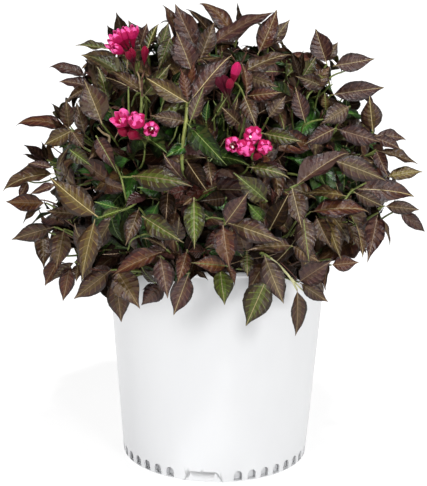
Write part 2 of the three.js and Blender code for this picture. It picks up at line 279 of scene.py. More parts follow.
def noisy(name, dark, light, scale, rough, bump_height, detail=6, stretch=(1, 1, 1), specular=0.4):
    """A material whose colour wanders between two tones with its relief."""
    m, t, p = material(name, light, rough, specular)
    place = node(t, "ShaderNodeTexCoord")
    size = node(t, "ShaderNodeMapping")
    size.inputs["Scale"].default_value = stretch
    link(t, place.outputs["Object"], size.inputs["Vector"])
    noise = node(t, "ShaderNodeTexNoise")
    noise.inputs["Scale"].default_value = scale
    noise.inputs["Detail"].default_value = detail
    link(t, size.outputs["Vector"], noise.inputs["Vector"])
    ramp = node(t, "ShaderNodeValToRGB")
    ramp.color_ramp.elements[0].position, ramp.color_ramp.elements[1].position = 0.35, 0.68
    ramp.color_ramp.elements[0].color, ramp.color_ramp.elements[1].color = (*dark, 1), (*light, 1)
    link(t, noise.outputs["Fac"], ramp.inputs["Fac"])
    link(t, ramp.outputs["Color"], p.inputs["Base Color"])
    spread(t, noise.outputs["Fac"], rough - 0.1, rough + 0.12, p.inputs["Roughness"])
    bump = node(t, "ShaderNodeBump", Strength=0.6, Distance=bump_height)
    link(t, noise.outputs["Fac"], bump.inputs["Height"])
    link(t, bump.outputs["Normal"], p.inputs["Normal"])
    return m


# ---------------------------------------------------------------- pot
POT_HEIGHT, BASE_RADIUS, WALL_SLOPE, WALL = 248.0, 107.5, 0.0763, 2.0
LIP, LIP_DEPTH, FOOT_HEIGHT, FOOT_INNER = 3.4, 7.0, 12.0, 92.5
NOTCHES, NOTCH_ANGLE, NOTCH_TOP, NOTCH_BOTTOM = 3, -96.7, 30.0, 47.0
DRAINS_BETWEEN, DRAIN_START, DRAIN_HALF_WIDTH, DRAIN_SILL, DRAIN_TOP = 10, 20.8, 4.9, 1.9, 13.4
POT_SEGMENTS = 192
SOIL_TOP = 222.0


def wall_at(z):
    return BASE_RADIUS + WALL_SLOPE * z


def rounded(profile, corners):
    """A profile of [r, z] with some of its corners turned into short arcs: corners is {number: radius}."""
    out = []
    for i, p in enumerate(profile):
        p = np.array(p, float)
        if i not in corners:
            out.append(p)
            continue
        a, b = np.array(profile[i - 1], float), np.array(profile[(i + 1) % len(profile)], float)
        ra, rb = corners[i] * unit(a - p), corners[i] * unit(b - p)
        for s in np.linspace(0, 1, 5):
            out.append((1 - s) ** 2 * (p + ra) + 2 * s * (1 - s) * p + s * s * (p + rb))
    return np.array(out)


def turned(name, profile, segments):
    """A closed solid of a profile of [r, z] in mm turned about Z. It starts and ends on the axis."""
    batch = Batch()
    profile = np.asarray(profile, float) * MM
    body = profile[1:-1] if profile[0][0] == 0 else profile
    a = np.arange(segments) * 2 * math.pi / segments
    rings = np.stack(
        [
            body[:, 0, None] * np.cos(a),
            body[:, 0, None] * np.sin(a),
            np.broadcast_to(body[:, 1, None], (len(body), segments)),
        ],
        -1,
    ).reshape(-1, 3)
    i, k = np.meshgrid(np.arange(len(body) - 1), np.arange(segments), indexing="ij")
    k2 = (k + 1) % segments
    quads = np.stack([i * segments + k, i * segments + k2, (i + 1) * segments + k2, (i + 1) * segments + k], -1).reshape(-1, 4)
    foot, head = len(rings), len(rings) + 1
    verts = np.vstack([rings, [[0, 0, profile[0][1]], [0, 0, profile[-1][1]]]])
    k = np.arange(segments)
    last = (len(body) - 1) * segments
    batch.add(verts, quads, 0)
    batch.loops.append(np.stack([np.full(segments, foot), (k + 1) % segments, k], -1).ravel())
    batch.loops.append(np.stack([np.full(segments, head), last + k, last + (k + 1) % segments], -1).ravel())
    for _ in range(2):
        batch.sizes.append(np.full(segments, 3))
        batch.slots.append(np.zeros(segments, np.int64))
        batch.uvs.append(np.zeros((segments * 3, 2)))
    return batch.build(name, [], smooth=False)


def prism(name, outline, azimuth, start, end):
    """An outline of [across, up] in mm, pushed outwards from the axis at an azimuth."""
    outline = np.asarray(outline, float)
    a = math.radians(azimuth)
    way, across = np.array([math.cos(a), math.sin(a), 0]), np.array([-math.sin(a), math.cos(a), 0])
    n = len(outline)
    ring = [outline[:, :1] * across + outline[:, 1:] * UP + way * d for d in (start, end)]
    batch = Batch()
    k = np.arange(n)
    batch.add(
        np.vstack(ring) * MM,
        np.stack([k, (k + 1) % n, n + (k + 1) % n, n + k], -1),
        0,
    )
    for face in (k[::-1], n + k):
        batch.loops.append(face)
        batch.sizes.append(np.array([n]))
        batch.slots.append(np.zeros(1, np.int64))
        batch.uvs.append(np.zeros((n, 2)))
    return batch.build(name, [], smooth=False)


def cut(obj, tools, operation):
    """obj joined with, cut by or kept inside the tools, which are then thrown away."""
    group = bpy.data.collections.new("tools")
    for t in tools:
        group.objects.link(t)
    mod = obj.modifiers.new("cut", "BOOLEAN")
    mod.operation, mod.solver = operation, "EXACT"
    mod.operand_type, mod.collection = "COLLECTION", group
    dg = bpy.context.evaluated_depsgraph_get()
    mesh = bpy.data.meshes.new_from_object(obj.evaluated_get(dg))
    obj.modifiers.remove(mod)
    obj.data = mesh
    for t in tools:
        bpy.data.objects.remove(t)
    bpy.data.collections.remove(group)


def notch_outline(extra):
    top, low = NOTCH_TOP / 2 + extra, NOTCH_BOTTOM / 2 + extra
    height = FOOT_HEIGHT + (WALL if extra > 0 else 0)
    return [
        [-low - 3, -2],
        [-low + 2.5, 1.2],
        [-top - 1.5, height - 2.5],
        [-top + 2, height],
        [top - 2, height],
        [top + 1.5, height - 2.5],
        [low - 2.5, 1.2],
        [low + 3, -2],
    ]


def drain_outline():
    spring = DRAIN_TOP - DRAIN_HALF_WIDTH
    arch = [
        [DRAIN_HALF_WIDTH * math.cos(a), spring + DRAIN_HALF_WIDTH * math.sin(a)]
        for a in np.linspace(0, math.pi, 9)
    ]
    return [[-DRAIN_HALF_WIDTH, DRAIN_SILL], [DRAIN_HALF_WIDTH, DRAIN_SILL], *arch]


lip_foot = POT_HEIGHT - LIP_DEPTH
levels = list(np.linspace(18, lip_foot - 2, 13))
outer = [
    [0, FOOT_HEIGHT],
    [FOOT_INNER - 3, FOOT_HEIGHT],
    [FOOT_INNER, 0],
    [BASE_RADIUS - 1.2, 0],
    [wall_at(2.0), 2.0],
    *[[wall_at(z), z] for z in levels],
    [wall_at(lip_foot), lip_foot],
    [wall_at(lip_foot) + LIP, lip_foot + 1.6],
    [wall_at(lip_foot) + LIP, POT_HEIGHT],
]
inner = [
    [wall_at(POT_HEIGHT) - WALL, POT_HEIGHT],
    *[[wall_at(z) - WALL, z] for z in reversed(levels)],
    [wall_at(5) - WALL, 5],
    [BASE_RADIUS - 2.6, WALL + 0.6],
    [104.3, WALL + 0.6],
    [103.9, FOOT_HEIGHT + WALL],
    [0, FOOT_HEIGHT + WALL],
]
n_out = len(outer)
profile = rounded(
    [*outer, *inner],
    {1: 1.2, 2: 1.2, 3: 0.6, 4: 0.6, n_out - 3: 1.2, n_out - 2: 1.2, n_out - 1: 1.6, n_out: 0.9, len(outer) + len(inner) - 3: 0.25, len(outer) + len(inner) - 2: 0.8},
)
envelope_profile = rounded([*outer, [0, POT_HEIGHT]], {1: 1.2, 2: 1.2, 3: 0.6, 4: 0.6, n_out - 3: 1.2, n_out - 2: 1.2, n_out - 1: 1.6})
pot = turned("pot_shell", profile, POT_SEGMENTS)
bridges, cutters = [], []
for n in range(NOTCHES):
    azimuth = NOTCH_ANGLE + 360 / NOTCHES * n
    bridge = prism("bridge", notch_outline(WALL), azimuth, FOOT_INNER - 2, BASE_RADIUS + 4)
    cut(bridge, [turned("envelope", envelope_profile, POT_SEGMENTS)], "INTERSECT")
    bridges.append(bridge)
    cutters.append(prism("notch", notch_outline(0), azimuth, FOOT_INNER - 6, BASE_RADIUS + 6))
    for k in range(DRAINS_BETWEEN):
        step = (360 / NOTCHES - 2 * DRAIN_START) / (DRAINS_BETWEEN - 1)
        cutters.append(prism("drain", drain_outline(), azimuth + DRAIN_START + step * k, BASE_RADIUS - 6, BASE_RADIUS + 6))
cut(pot, bridges, "UNION")
cut(pot, cutters, "DIFFERENCE")
pot.data.shade_smooth()
pot.data.set_sharp_from_angle(angle=math.radians(38))

plastic, t, p = material("pot_plastic", (0.755, 0.762, 0.775), 0.38, 0.5, coat=0.08)
place = node(t, "ShaderNodeTexCoord")
grain = node(t, "ShaderNodeTexNoise")
grain.inputs["Scale"].default_value, grain.inputs["Detail"].default_value = 1400, 2
link(t, place.outputs["Object"], grain.inputs["Vector"])
flow = node(t, "ShaderNodeTexNoise")
flow.inputs["Scale"].default_value, flow.inputs["Detail"].default_value = 14, 4
stretch = node(t, "ShaderNodeMapping")
stretch.inputs["Scale"].default_value = (1, 1, 0.35)
link(t, place.outputs["Object"], stretch.inputs["Vector"])
link(t, stretch.outputs["Vector"], flow.inputs["Vector"])
tone = node(t, "ShaderNodeValToRGB")
tone.color_ramp.elements[0].position, tone.color_ramp.elements[1].position = 0.3, 0.7
tone.color_ramp.elements[0].color, tone.color_ramp.elements[1].color = (0.698, 0.703, 0.716, 1), (0.735, 0.740, 0.750, 1)
link(t, flow.outputs["Fac"], tone.inputs["Fac"])
link(t, tone.outputs["Color"], p.inputs["Base Color"])
spread(t, flow.outputs["Fac"], 0.32, 0.46, p.inputs["Roughness"])
bump = node(t, "ShaderNodeBump", Strength=0.12, Distance=0.0004)
link(t, grain.outputs["Fac"], bump.inputs["Height"])
link(t, bump.outputs["Normal"], p.inputs["Normal"])
pot.data.materials.clear()
pot.data.materials.append(plastic)
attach(pot, "root")
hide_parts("pot")

# ---------------------------------------------------------------- potting mix
rng = np.random.default_rng(71)
soil_mat = noisy("potting_mix_crumbs", (0.018, 0.011, 0.007), (0.085, 0.055, 0.036), 260, 0.92, 0.004, specular=0.15)
chip_mat = noisy("potting_mix_bark", (0.05, 0.028, 0.016), (0.17, 0.1, 0.06), 160, 0.85, 0.0015, specular=0.2)


def waves(x, y):
    return np.sin(x * 0.071 + 1.3) * np.cos(y * 0.083)


mix = Batch()
rings, spokes = 34, 120
top_r = np.linspace(2, wall_at(SOIL_TOP) - WALL - 0.8, rings)
a = np.arange(spokes) * 2 * math.pi / spokes
x, y = top_r[:, None] * np.cos(a), top_r[:, None] * np.sin(a)
crumb = rng.normal(0, 1, (rings, spokes))
crumb = (crumb + np.roll(crumb, 1, 1) * 0.7) * 0.9
z = SOIL_TOP + 2.2 * waves(x, y) + crumb - np.clip((top_r[:, None] - 110) * 0.25, 0, 3)
top = np.stack([x, y, z], -1)
side_levels = [200, 120, 40, 15.5]
side_radii = [wall_at(200) - WALL - 0.5, wall_at(120) - WALL - 0.5, wall_at(40) - WALL - 0.5, wall_at(15) - WALL - 0.6]
under = [[r, z] for r, z in zip(side_radii, side_levels)] + [[wall_at(15) - WALL - 1.4, 14.9], [80, 14.9], [40, 14.9]]
low = np.stack([np.stack([r * np.cos(a), r * np.sin(a), np.full(spokes, float(z))], -1) for r, z in under])
cloud = np.concatenate([top, low]) * MM
rows = len(cloud)
i, k = np.meshgrid(np.arange(rows - 1), np.arange(spokes), indexing="ij")
k2 = (k + 1) % spokes
quads = np.stack([i * spokes + k, (i + 1) * spokes + k, (i + 1) * spokes + k2, i * spokes + k2], -1).reshape(-1, 4)
points = np.vstack([cloud.reshape(-1, 3), [[0, 0, SOIL_TOP * MM], [0, 0, 14.9 * MM]]])
mix.add(points, quads, 0)
k = np.arange(spokes)
centre, floor_point = rows * spokes, rows * spokes + 1
last = (rows - 1) * spokes
mix.loops += [np.stack([np.full(spokes, centre), k, (k + 1) % spokes], -1).ravel(), np.stack([np.full(spokes, floor_point), last + (k + 1) % spokes, last + k], -1).ravel()]
for _ in range(2):
    mix.sizes.append(np.full(spokes, 3))
    mix.slots.append(np.zeros(spokes, np.int64))
    mix.uvs.append(np.zeros((spokes * 3, 2)))
# bark chips lying on it
for _ in range(420):
    r, turn = 30 + 86 * math.sqrt(rng.random()), rng.random() * 6.283
    cx, cy = r * math.cos(turn), r * math.sin(turn)
    size = np.array([rng.uniform(3, 10), rng.uniform(2, 5), rng.uniform(0.8, 2)])
    corner = (np.array([[i, j, k] for i in (-1, 1) for j in (-1, 1) for k in (-1, 1)]) + rng.uniform(-0.35, 0.35, (8, 3))) * size / 2
    tilt, spin = rng.uniform(-0.5, 0.5), rng.random() * 6.283
    corner = corner @ np.array([[1, 0, 0], [0, math.cos(tilt), math.sin(tilt)], [0, -math.sin(tilt), math.cos(tilt)]])
    corner = corner @ np.array([[math.cos(spin), math.sin(spin), 0], [-math.sin(spin), math.cos(spin), 0], [0, 0, 1]])
    corner += [cx, cy, SOIL_TOP + 2.2 * waves(cx, cy) + 0.6 + rng.uniform(0, 1.5)]
    mix.add(corner * MM, [[0, 1, 3, 2], [4, 6, 7, 5], [0, 4, 5, 1], [2, 3, 7, 6], [0, 2, 6, 4], [1, 5, 7, 3]], 1)
soil = mix.build("potting_mix_top", [soil_mat, chip_mat], smooth=False)
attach(soil, "root")
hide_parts("potting_mix")

# ---------------------------------------------------------------- the frame's limbs, by the same sums as in the CAD part
TIERS = [
    ("skirt", 10, -13.9, 188, (57, 76, 74), 0, 11),
    ("shoulder", 8, 23.5, 176, (62, 80, 77), 0, 23),
    ("upper", 5, 57, 170, (62, 80, 74), -90, 37),
    ("top", 1, 90, 168, (60, 78, 78), 0, 41),
]
SPREAD = np.array([-0.435, -0.913, 0])
WORD = 0xFFFFFFFF


def stream(seed):
    state = seed & WORD

    def following():
        nonlocal state
        state = (state + 0x6D2B79F5) & WORD
        t = state
        t = ((t ^ (t >> 15)) * (t | 1)) & WORD
        t = t ^ ((t + (((t ^ (t >> 7)) * (t | 61)) & WORD)) & WORD)
        return ((t ^ (t >> 14)) & WORD) / 4294967296

    return following


def polar(azimuth, r, z):
    a = math.radians(azimuth)
    return np.array([r * math.cos(a), r * math.sin(a), z])


cells = []
for tier, count, elevation, distance, half, first, seed in TIERS:
    following = stream(seed)
    for i in range(count):
        azimuth = first + 360 / count * i + (0 if count == 1 else (following() - 0.5) * 2 * 3.2)
        reach = 1 + (following() - 0.5) * 2 * 0.018
        for _ in range(4):
            following()
        e, a = math.radians(elevation), math.radians(azimuth)
        out = np.array([math.cos(e) * math.cos(a), math.cos(e) * math.sin(a), math.sin(e)])
        centre = CROWN / MM + out * distance * reach - SPREAD
        name = "foliage_" + tier + ("" if count == 1 else f"_{i + 1}")
        cells.append(dict(name=name, tier=tier, azimuth=azimuth, out=out, centre=centre, heart=centre - out * half[0] * 0.35))

STEM_TOP = 255.35
LIMB = {}
shoulder = [c for c in cells if c["tier"] == "shoulder"]
leader_cell = cells[-1]
for i, c in enumerate(shoulder):
    c["limb"] = f"cane_{i + 1}"
    LIMB[c["limb"]] = bezier(
        polar(c["azimuth"], 8, STEM_TOP - (16 if i % 2 else 10)),
        polar(c["azimuth"], 26, STEM_TOP + 26),
        polar(c["azimuth"], 64, STEM_TOP + 66),
        c["heart"],
        61,
    )
leader_cell["limb"] = "cane_centre"
LIMB["cane_centre"] = bezier(
    np.array([0, 0, STEM_TOP - 8]), np.array([4, -3, STEM_TOP + 60]), np.array([-5, 5, STEM_TOP + 120]), leader_cell["heart"], 61
)
for i, c in enumerate([c for c in cells if c["tier"] == "skirt"]):
    near = min(shoulder, key=lambda s: abs((s["azimuth"] - c["azimuth"] + 540) % 360 - 180))
    start = along(LIMB[near["limb"]], 0.42 if i % 2 else 0.3)[0][0]
    r = math.hypot(start[0], start[1])
    mean = (c["azimuth"] + near["azimuth"] + (360 if abs(c["azimuth"] - near["azimuth"]) > 180 else 0)) / 2
    c["limb"] = f"bough_skirt_{i + 1}"
    LIMB[c["limb"]] = bezier(start, polar(mean, r + 34, start[2] + 4), polar(c["azimuth"], 126, 284), c["heart"], 49)
for i, c in enumerate([c for c in cells if c["tier"] == "upper"]):
    start = along(LIMB["cane_centre"], 0.3 + 0.06 * i)[0][0]
    c["limb"] = f"bough_upper_{i + 1}"
    LIMB[c["limb"]] = bezier(start, polar(c["azimuth"], 20, start[2] + 16), polar(c["azimuth"], 66, 378), c["heart"], 49)

bark_mat = noisy("bark_old", (0.09, 0.055, 0.035), (0.33, 0.23, 0.15), 190, 0.8, 0.0012, stretch=(1, 1, 0.3), specular=0.25)
limbs = Batch()


def bark(seed):
    r = np.random.default_rng(seed)
    ph = r.uniform(0, 6.283, 6)

    def lump(t, a):
        ridges = 0.06 * np.sin(5 * a + ph[0] + 3 * t) + 0.045 * np.sin(9 * a + ph[1] - 5 * t)
        knots = 0.07 * np.sin(38 * t + ph[2]) * np.sin(2 * a + ph[3]) + 0.05 * np.sin(71 * t + 3 * a + ph[4])
        return 1 + ridges + knots

    return lump


for i, (name, path) in enumerate(LIMB.items()):
    base, tip = (4.3, 2.2) if name.startswith("cane") else (2.9, 1.5)
    add_tube(limbs, path * MM, np.linspace(base, tip, len(path)) * MM, 12, 0, bark(100 + i))
# the short flared stem
foot = SOIL_TOP + 1.35
stem_profile = [(25, -1), (24, 1), (21, 4), (18, 8), (15.6, 13), (15, 18), (14.4, 24), (12.5, 28.5), (9, 31.5), (4, 32)]
stem_rows = []
a = np.arange(28) * 2 * math.pi / 28
for j, (r, z) in enumerate(stem_profile):
    lobe = 1 + 0.09 * np.cos(3 * a + 0.6) + 0.04 * np.sin(5 * a) + 0.025 * np.sin(9 * a + 0.5 * j) + 0.02 * np.sin(14 * a - j)
    stem_rows.append(np.stack([r * lobe * np.cos(a), r * lobe * np.sin(a) * 0.93, np.full(28, foot + z)], -1))
rows = np.array(stem_rows) * MM
i, k = np.meshgrid(np.arange(len(rows) - 1), np.arange(28), indexing="ij")
k2 = (k + 1) % 28
limbs.add(rows.reshape(-1, 3), np.stack([i * 28 + k, i * 28 + k2, (i + 1) * 28 + k2, (i + 1) * 28 + k], -1).reshape(-1, 4), 0)
limbs.add(rows[-1], np.arange(28)[None, :], 0)
limbs.add(rows[0], np.arange(28)[None, ::-1], 0)
limb_piece = limbs.build("stem_canes_boughs", [bark_mat])
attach(limb_piece, "root")
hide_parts("stem_base", *LIMB)

# ---------------------------------------------------------------- leaf template
WIDTH = [(0, 0.045), (0.07, 0.05), (0.10, 0.20), (0.15, 0.50), (0.22, 0.78), (0.30, 0.93), (0.38, 1.0), (0.48, 0.985), (0.57, 0.89), (0.66, 0.71), (0.75, 0.475), (0.82, 0.275), (0.88, 0.15), (0.93, 0.085), (0.97, 0.045), (1, 0.01)]
VEINS = [0.17, 0.29, 0.41, 0.53, 0.65, 0.77]  # where the side veins leave the rib, with a ridge of the blade behind each
FINE_ROWS = np.array([0, 0.06, 0.11, *[v + d for v in VEINS for d in (-0.007, 0.007, 0.06)], 0.91, 1.0])
FINE_LIFT = np.array([0, 0, 0.5, *[-1, -1, 1] * (len(VEINS) - 1), -1, -1, 0.5, 0, 0])
FINE_VEIN = [i >= 3 and (i - 3) % 3 == 0 and i < 3 * len(VEINS) + 3 for i in range(len(FINE_ROWS) - 1)]
FINE_ACROSS = np.array([0, 0.33, 0.74, 1.0])
COARSE_ROWS = np.array([0, 0.08, 0.2, 0.36, 0.54, 0.72, 0.88, 1.0])
COARSE_ACROSS = np.array([0, 1.0])
STEPS = 48


def half_width(s):
    return np.interp(s, [w[0] for w in WIDTH], [w[1] for w in WIDTH])


def template(rows, across):
    """Row places, side places, faces and the zone of each face: 0 rib, 1 inner, 2 outer, 3 margin, 4 underside, 5 side vein."""
    side = len(across)
    cols = 2 * side
    faces, zones = [], []
    for i in range(len(rows) - 1):
        for c in range(cols - 1):
            faces.append([i * cols + c, (i + 1) * cols + c, (i + 1) * cols + c + 1, i * cols + c + 1])
            from_rib = abs(c - (side - 1))
            if i == 0 or from_rib == 0:
                zones.append(0)
            elif side == 2:
                zones.append(2)
            elif FINE_VEIN[i] and from_rib < 3:
                zones.append(5)
            else:
                zones.append([0, 1, 2, 3][from_rib])
    start = len(rows) * cols
    for i in range(len(rows) - 1):
        for c in range(2):
            faces.append([start + i * 3 + c, start + i * 3 + c + 1, start + (i + 1) * 3 + c + 1, start + (i + 1) * 3 + c])
            zones.append(0 if i == 0 else 4)
    return np.array(faces), np.array(zones)


class Leaves:
    """Leaves waiting to be shaped, as columns of numbers."""

    FIELDS = "at way face length width arch fold curl wave twist hook side_bend tint rib fine group droop keep".split()

    def __init__(self):
        self.rows = []

    def add(self, **v):
        self.rows.append(v)

    def column(self, name, chosen=None):
        rows = self.rows if chosen is None else [self.rows[i] for i in chosen]
        return np.array([r[name] for r in rows], float)


def shape(leaves, chosen, rows, across, seed):
    """The vertices of the chosen leaves, (n, v, 3), and their UVs."""
    g = np.random.default_rng(seed)
    n = len(chosen)
    get = lambda name: leaves.column(name, chosen)
    at, way, face = get("at"), unit(get("way")), get("face")
    length, width = get("length"), get("width")
    face = square_to(face, way)
    across_way = np.cross(way, face)
    m = np.minimum(0.9, 0.00037 / np.maximum(half_width(rows)[None] * width[:, None] / 2, 1e-5))  # the rib's share of the half width
    side = m[:, :, None] + (1 - m[:, :, None]) * across  # n, rows, side
    u_top = np.concatenate([-side[:, :, ::-1], side], -1)
    u_low = np.broadcast_to(np.array([-1.0, 0, 1.0]), (n, len(rows), 3))
    fine_s = np.linspace(0, 1, STEPS + 1)
    arch, hook, bend = get("arch")[:, None], get("hook")[:, None], get("side_bend")[:, None]
    angle = arch * fine_s**1.25 + hook * np.clip((fine_s - 0.72) / 0.28, 0, 1) ** 2
    mid = (angle[:, 1:] + angle[:, :-1]) / 2
    zero = np.zeros((n, 1))
    run = np.concatenate([zero, np.cumsum(np.cos(mid), 1)], 1) / STEPS
    drop = np.concatenate([zero, np.cumsum(np.sin(mid), 1)], 1) / STEPS
    out = []
    for part, u in (("top", u_top), ("low", u_low)):
        s = rows[None, :, None] + 0.17 * np.abs(u) ** 1.25 * np.sin(np.pi * np.clip(rows, 0, 1))[None, :, None]
        s = np.clip(np.where(rows[None, :, None] < 0.08, rows[None, :, None], s), 0, 1)
        f = s * STEPS
        i0 = np.minimum(f.astype(int), STEPS - 1)
        frac = f - i0
        leaf = np.arange(n)[:, None, None]
        pick = lambda table: table[leaf, i0] * (1 - frac) + table[leaf, i0 + 1] * frac
        x, z, al = pick(run), pick(drop), pick(angle)
        hw = half_width(s) * width[:, None, None] / 2
        if part == "top":
            tooth = 1 + 0.035 * g.uniform(-1, 1, (n, len(rows), u.shape[2])) * (np.abs(u) > 0.95)
            keep_tooth = tooth
        else:
            tooth = np.stack([keep_tooth[:, :, 0], np.ones((n, len(rows))), keep_tooth[:, :, -1]], -1)
        blade = np.clip((rows - 0.07) / 0.08, 0, 1)[None, :, None]
        fold = get("fold")[:, None, None] * (1 - 0.45 * s)
        tw = get("twist")[:, None, None] * s
        au = np.abs(u)
        lateral = u * hw * tooth * np.cos(fold)
        lift = au * hw * np.sin(fold) - get("curl")[:, None, None] * hw * au**2
        phase = (g.random(n) * 6.283 if part == "top" else phase_kept)
        phase_kept = phase
        lift += get("wave")[:, None, None] * hw * au**2 * np.sin(s * 13 + phase[:, None, None] + np.sign(u) * 0.8) * blade
        if part == "top" and len(rows) > 10:
            mask = np.clip(au * 4, 0, 1) * np.clip((1 - au) * 5, 0, 1)
            lift += 0.00044 * FINE_LIFT[None, :, None] * mask * blade * np.clip(hw / 0.009, 0, 1)
        if part == "low":
            lift -= np.where(au < 0.5, 0.00062, 0.00006) * np.clip(hw / 0.004, 0.15, 1)
        lat2 = lateral * np.cos(tw) - lift * np.sin(tw)
        lif2 = lateral * np.sin(tw) + lift * np.cos(tw)
        lat2 = lat2 + bend[:, :, None] * length[:, None, None] * s**2
        along_way = length[:, None, None] * x + lif2 * np.sin(al)
        along_face = -length[:, None, None] * z + lif2 * np.cos(al)
        p = at[:, None, None] + way[:, None, None] * along_way[..., None] + face[:, None, None] * along_face[..., None] + across_way[:, None, None] * lat2[..., None]
        uv = np.stack(np.broadcast_arrays(0.5 + 0.5 * u, rows[None, :, None]), -1)
        out.append((p.reshape(n, -1, 3), uv.reshape(n, -1, 2)))
    return np.concatenate([out[0][0], out[1][0]], 1), np.concatenate([out[0][1], out[1][1]], 1)


# ---------------------------------------------------------------- leaf colours: inner, outer, margin, underside
TINTS = {
    "bronze": ((0.081, 0.048, 0.013), (0.050, 0.019, 0.011), (0.020, 0.007, 0.004), (0.072, 0.040, 0.016)),
    "bark_brown": ((0.062, 0.035, 0.011), (0.042, 0.015, 0.008), (0.017, 0.007, 0.002), (0.073, 0.038, 0.014)),
    "olive": ((0.057, 0.069, 0.008), (0.036, 0.023, 0.006), (0.015, 0.008, 0.002), (0.065, 0.053, 0.010)),
    "plum": ((0.063, 0.026, 0.014), (0.037, 0.012, 0.011), (0.017, 0.004, 0.004), (0.074, 0.030, 0.019)),
    "russet": ((0.089, 0.034, 0.010), (0.056, 0.012, 0.007), (0.021, 0.005, 0.004), (0.068, 0.025, 0.008)),
    "slate": ((0.101, 0.068, 0.034), (0.062, 0.032, 0.025), (0.030, 0.014, 0.009), (0.115, 0.075, 0.040)),
    "night": ((0.022, 0.011, 0.004), (0.012, 0.006, 0.004), (0.008, 0.004, 0.001), (0.021, 0.011, 0.004)),
    "deep_green": ((0.026, 0.052, 0.007), (0.013, 0.024, 0.005), (0.008, 0.011, 0.003), (0.030, 0.035, 0.007)),
    "green": ((0.030, 0.110, 0.008), (0.017, 0.051, 0.006), (0.009, 0.024, 0.004), (0.030, 0.056, 0.009)),
    "lime": ((0.080, 0.162, 0.012), (0.052, 0.082, 0.010), (0.028, 0.042, 0.005), (0.063, 0.095, 0.015)),
    "tan": ((0.090, 0.049, 0.013), (0.055, 0.022, 0.010), (0.022, 0.008, 0.004), (0.065, 0.034, 0.012)),
    "rust": ((0.123, 0.050, 0.010), (0.068, 0.017, 0.006), (0.025, 0.007, 0.004), (0.075, 0.028, 0.009)),
    "straw": ((0.166, 0.123, 0.027), (0.099, 0.056, 0.019), (0.043, 0.023, 0.005), (0.108, 0.073, 0.018)),
    "olive_bright": ((0.066, 0.099, 0.005), (0.039, 0.041, 0.004), (0.018, 0.016, 0.002), (0.058, 0.063, 0.007)),
    "pale_bronze": ((0.078, 0.049, 0.017), (0.051, 0.019, 0.013), (0.019, 0.007, 0.004), (0.061, 0.035, 0.018)),
    "pale_plum": ((0.073, 0.034, 0.019), (0.047, 0.016, 0.015), (0.018, 0.006, 0.004), (0.060, 0.028, 0.021)),
    "chocolate": ((0.086, 0.039, 0.014), (0.054, 0.018, 0.012), (0.021, 0.007, 0.004), (0.078, 0.035, 0.018)),
    "umber": ((0.019, 0.009, 0.003), (0.013, 0.004, 0.002), (0.006, 0.002, 0.001), (0.019, 0.009, 0.003)),
    "olive_tan": ((0.094, 0.062, 0.013), (0.060, 0.029, 0.010), (0.025, 0.011, 0.003), (0.074, 0.046, 0.013)),
}
TINT = {name: i for i, name in enumerate(TINTS)}
RIBS = {
    "cream": (0.270, 0.210, 0.105), "tan": (0.190, 0.125, 0.070), "lime": (0.200, 0.240, 0.070), "red": (0.120, 0.040, 0.026),
    "dark": (0.040, 0.028, 0.017), "straw": (0.430, 0.345, 0.160), "green": (0.095, 0.135, 0.036),
}
RIB = {name: i for i, name in enumerate(RIBS)}
ROUGH = {"slate": 0.36, "night": 0.50, "umber": 0.50, "deep_green": 0.42, "lime": 0.48}
GLOSS = {"night": 0.08, "umber": 0.08, "deep_green": 0.16}
leaf_mats = []
for name, tones in TINTS.items():
    vein = tuple(1.5 * v + 0.006 for v in tones[0])
    for zone, colour in zip(("inner", "outer", "margin", "under", "vein"), (*tones, vein)):
        leaf_mats.append(leaf_material(f"leaf_{name}_{zone}", colour, ROUGH.get(name, 0.40) + (0.18 if zone == "under" else 0), 1.0, GLOSS.get(name, 0.42)))
for name, colour in RIBS.items():
    leaf_mats.append(leaf_material(f"rib_{name}", colour, 0.5, 0.2))


def slots_of(zones, tint, rib):
    """Material slots of a run of leaves, one for each face."""
    table = np.where(zones[None, :] == 0, len(TINTS) * 5 + rib[:, None], tint[:, None] * 5 + zones[None, :] - 1)
    return table


# ---------------------------------------------------------------- shoots
# The crown's edge in the photograph: its reach in pixels from (213, 200) at angles counted up from the right.
EDGE_ANGLES = list(range(-60, 241, 10))
EDGE_REACH = [120, 164, 149, 145, 166, 178, 194, 195, 200, 193, 189, 192, 196, 198, 187, 196, 200, 185, 203, 204, 210, 187, 211, 192, 207, 207, 185, 180, 147, 156, 120]
rng = np.random.default_rng(2024)
leaves = Leaves()
twigs = Batch()
TWIG_OLD, TWIG_YOUNG, TWIG_RED = 0, 1, 2
waiting = []  # twigs that are grown only as far as a leaf that is kept: path, radii, sides, colours, leaf numbers and their places along it


def pick(names, weights):
    w = np.array(weights, float)
    return names[rng.choice(len(names), p=w / w.sum())]


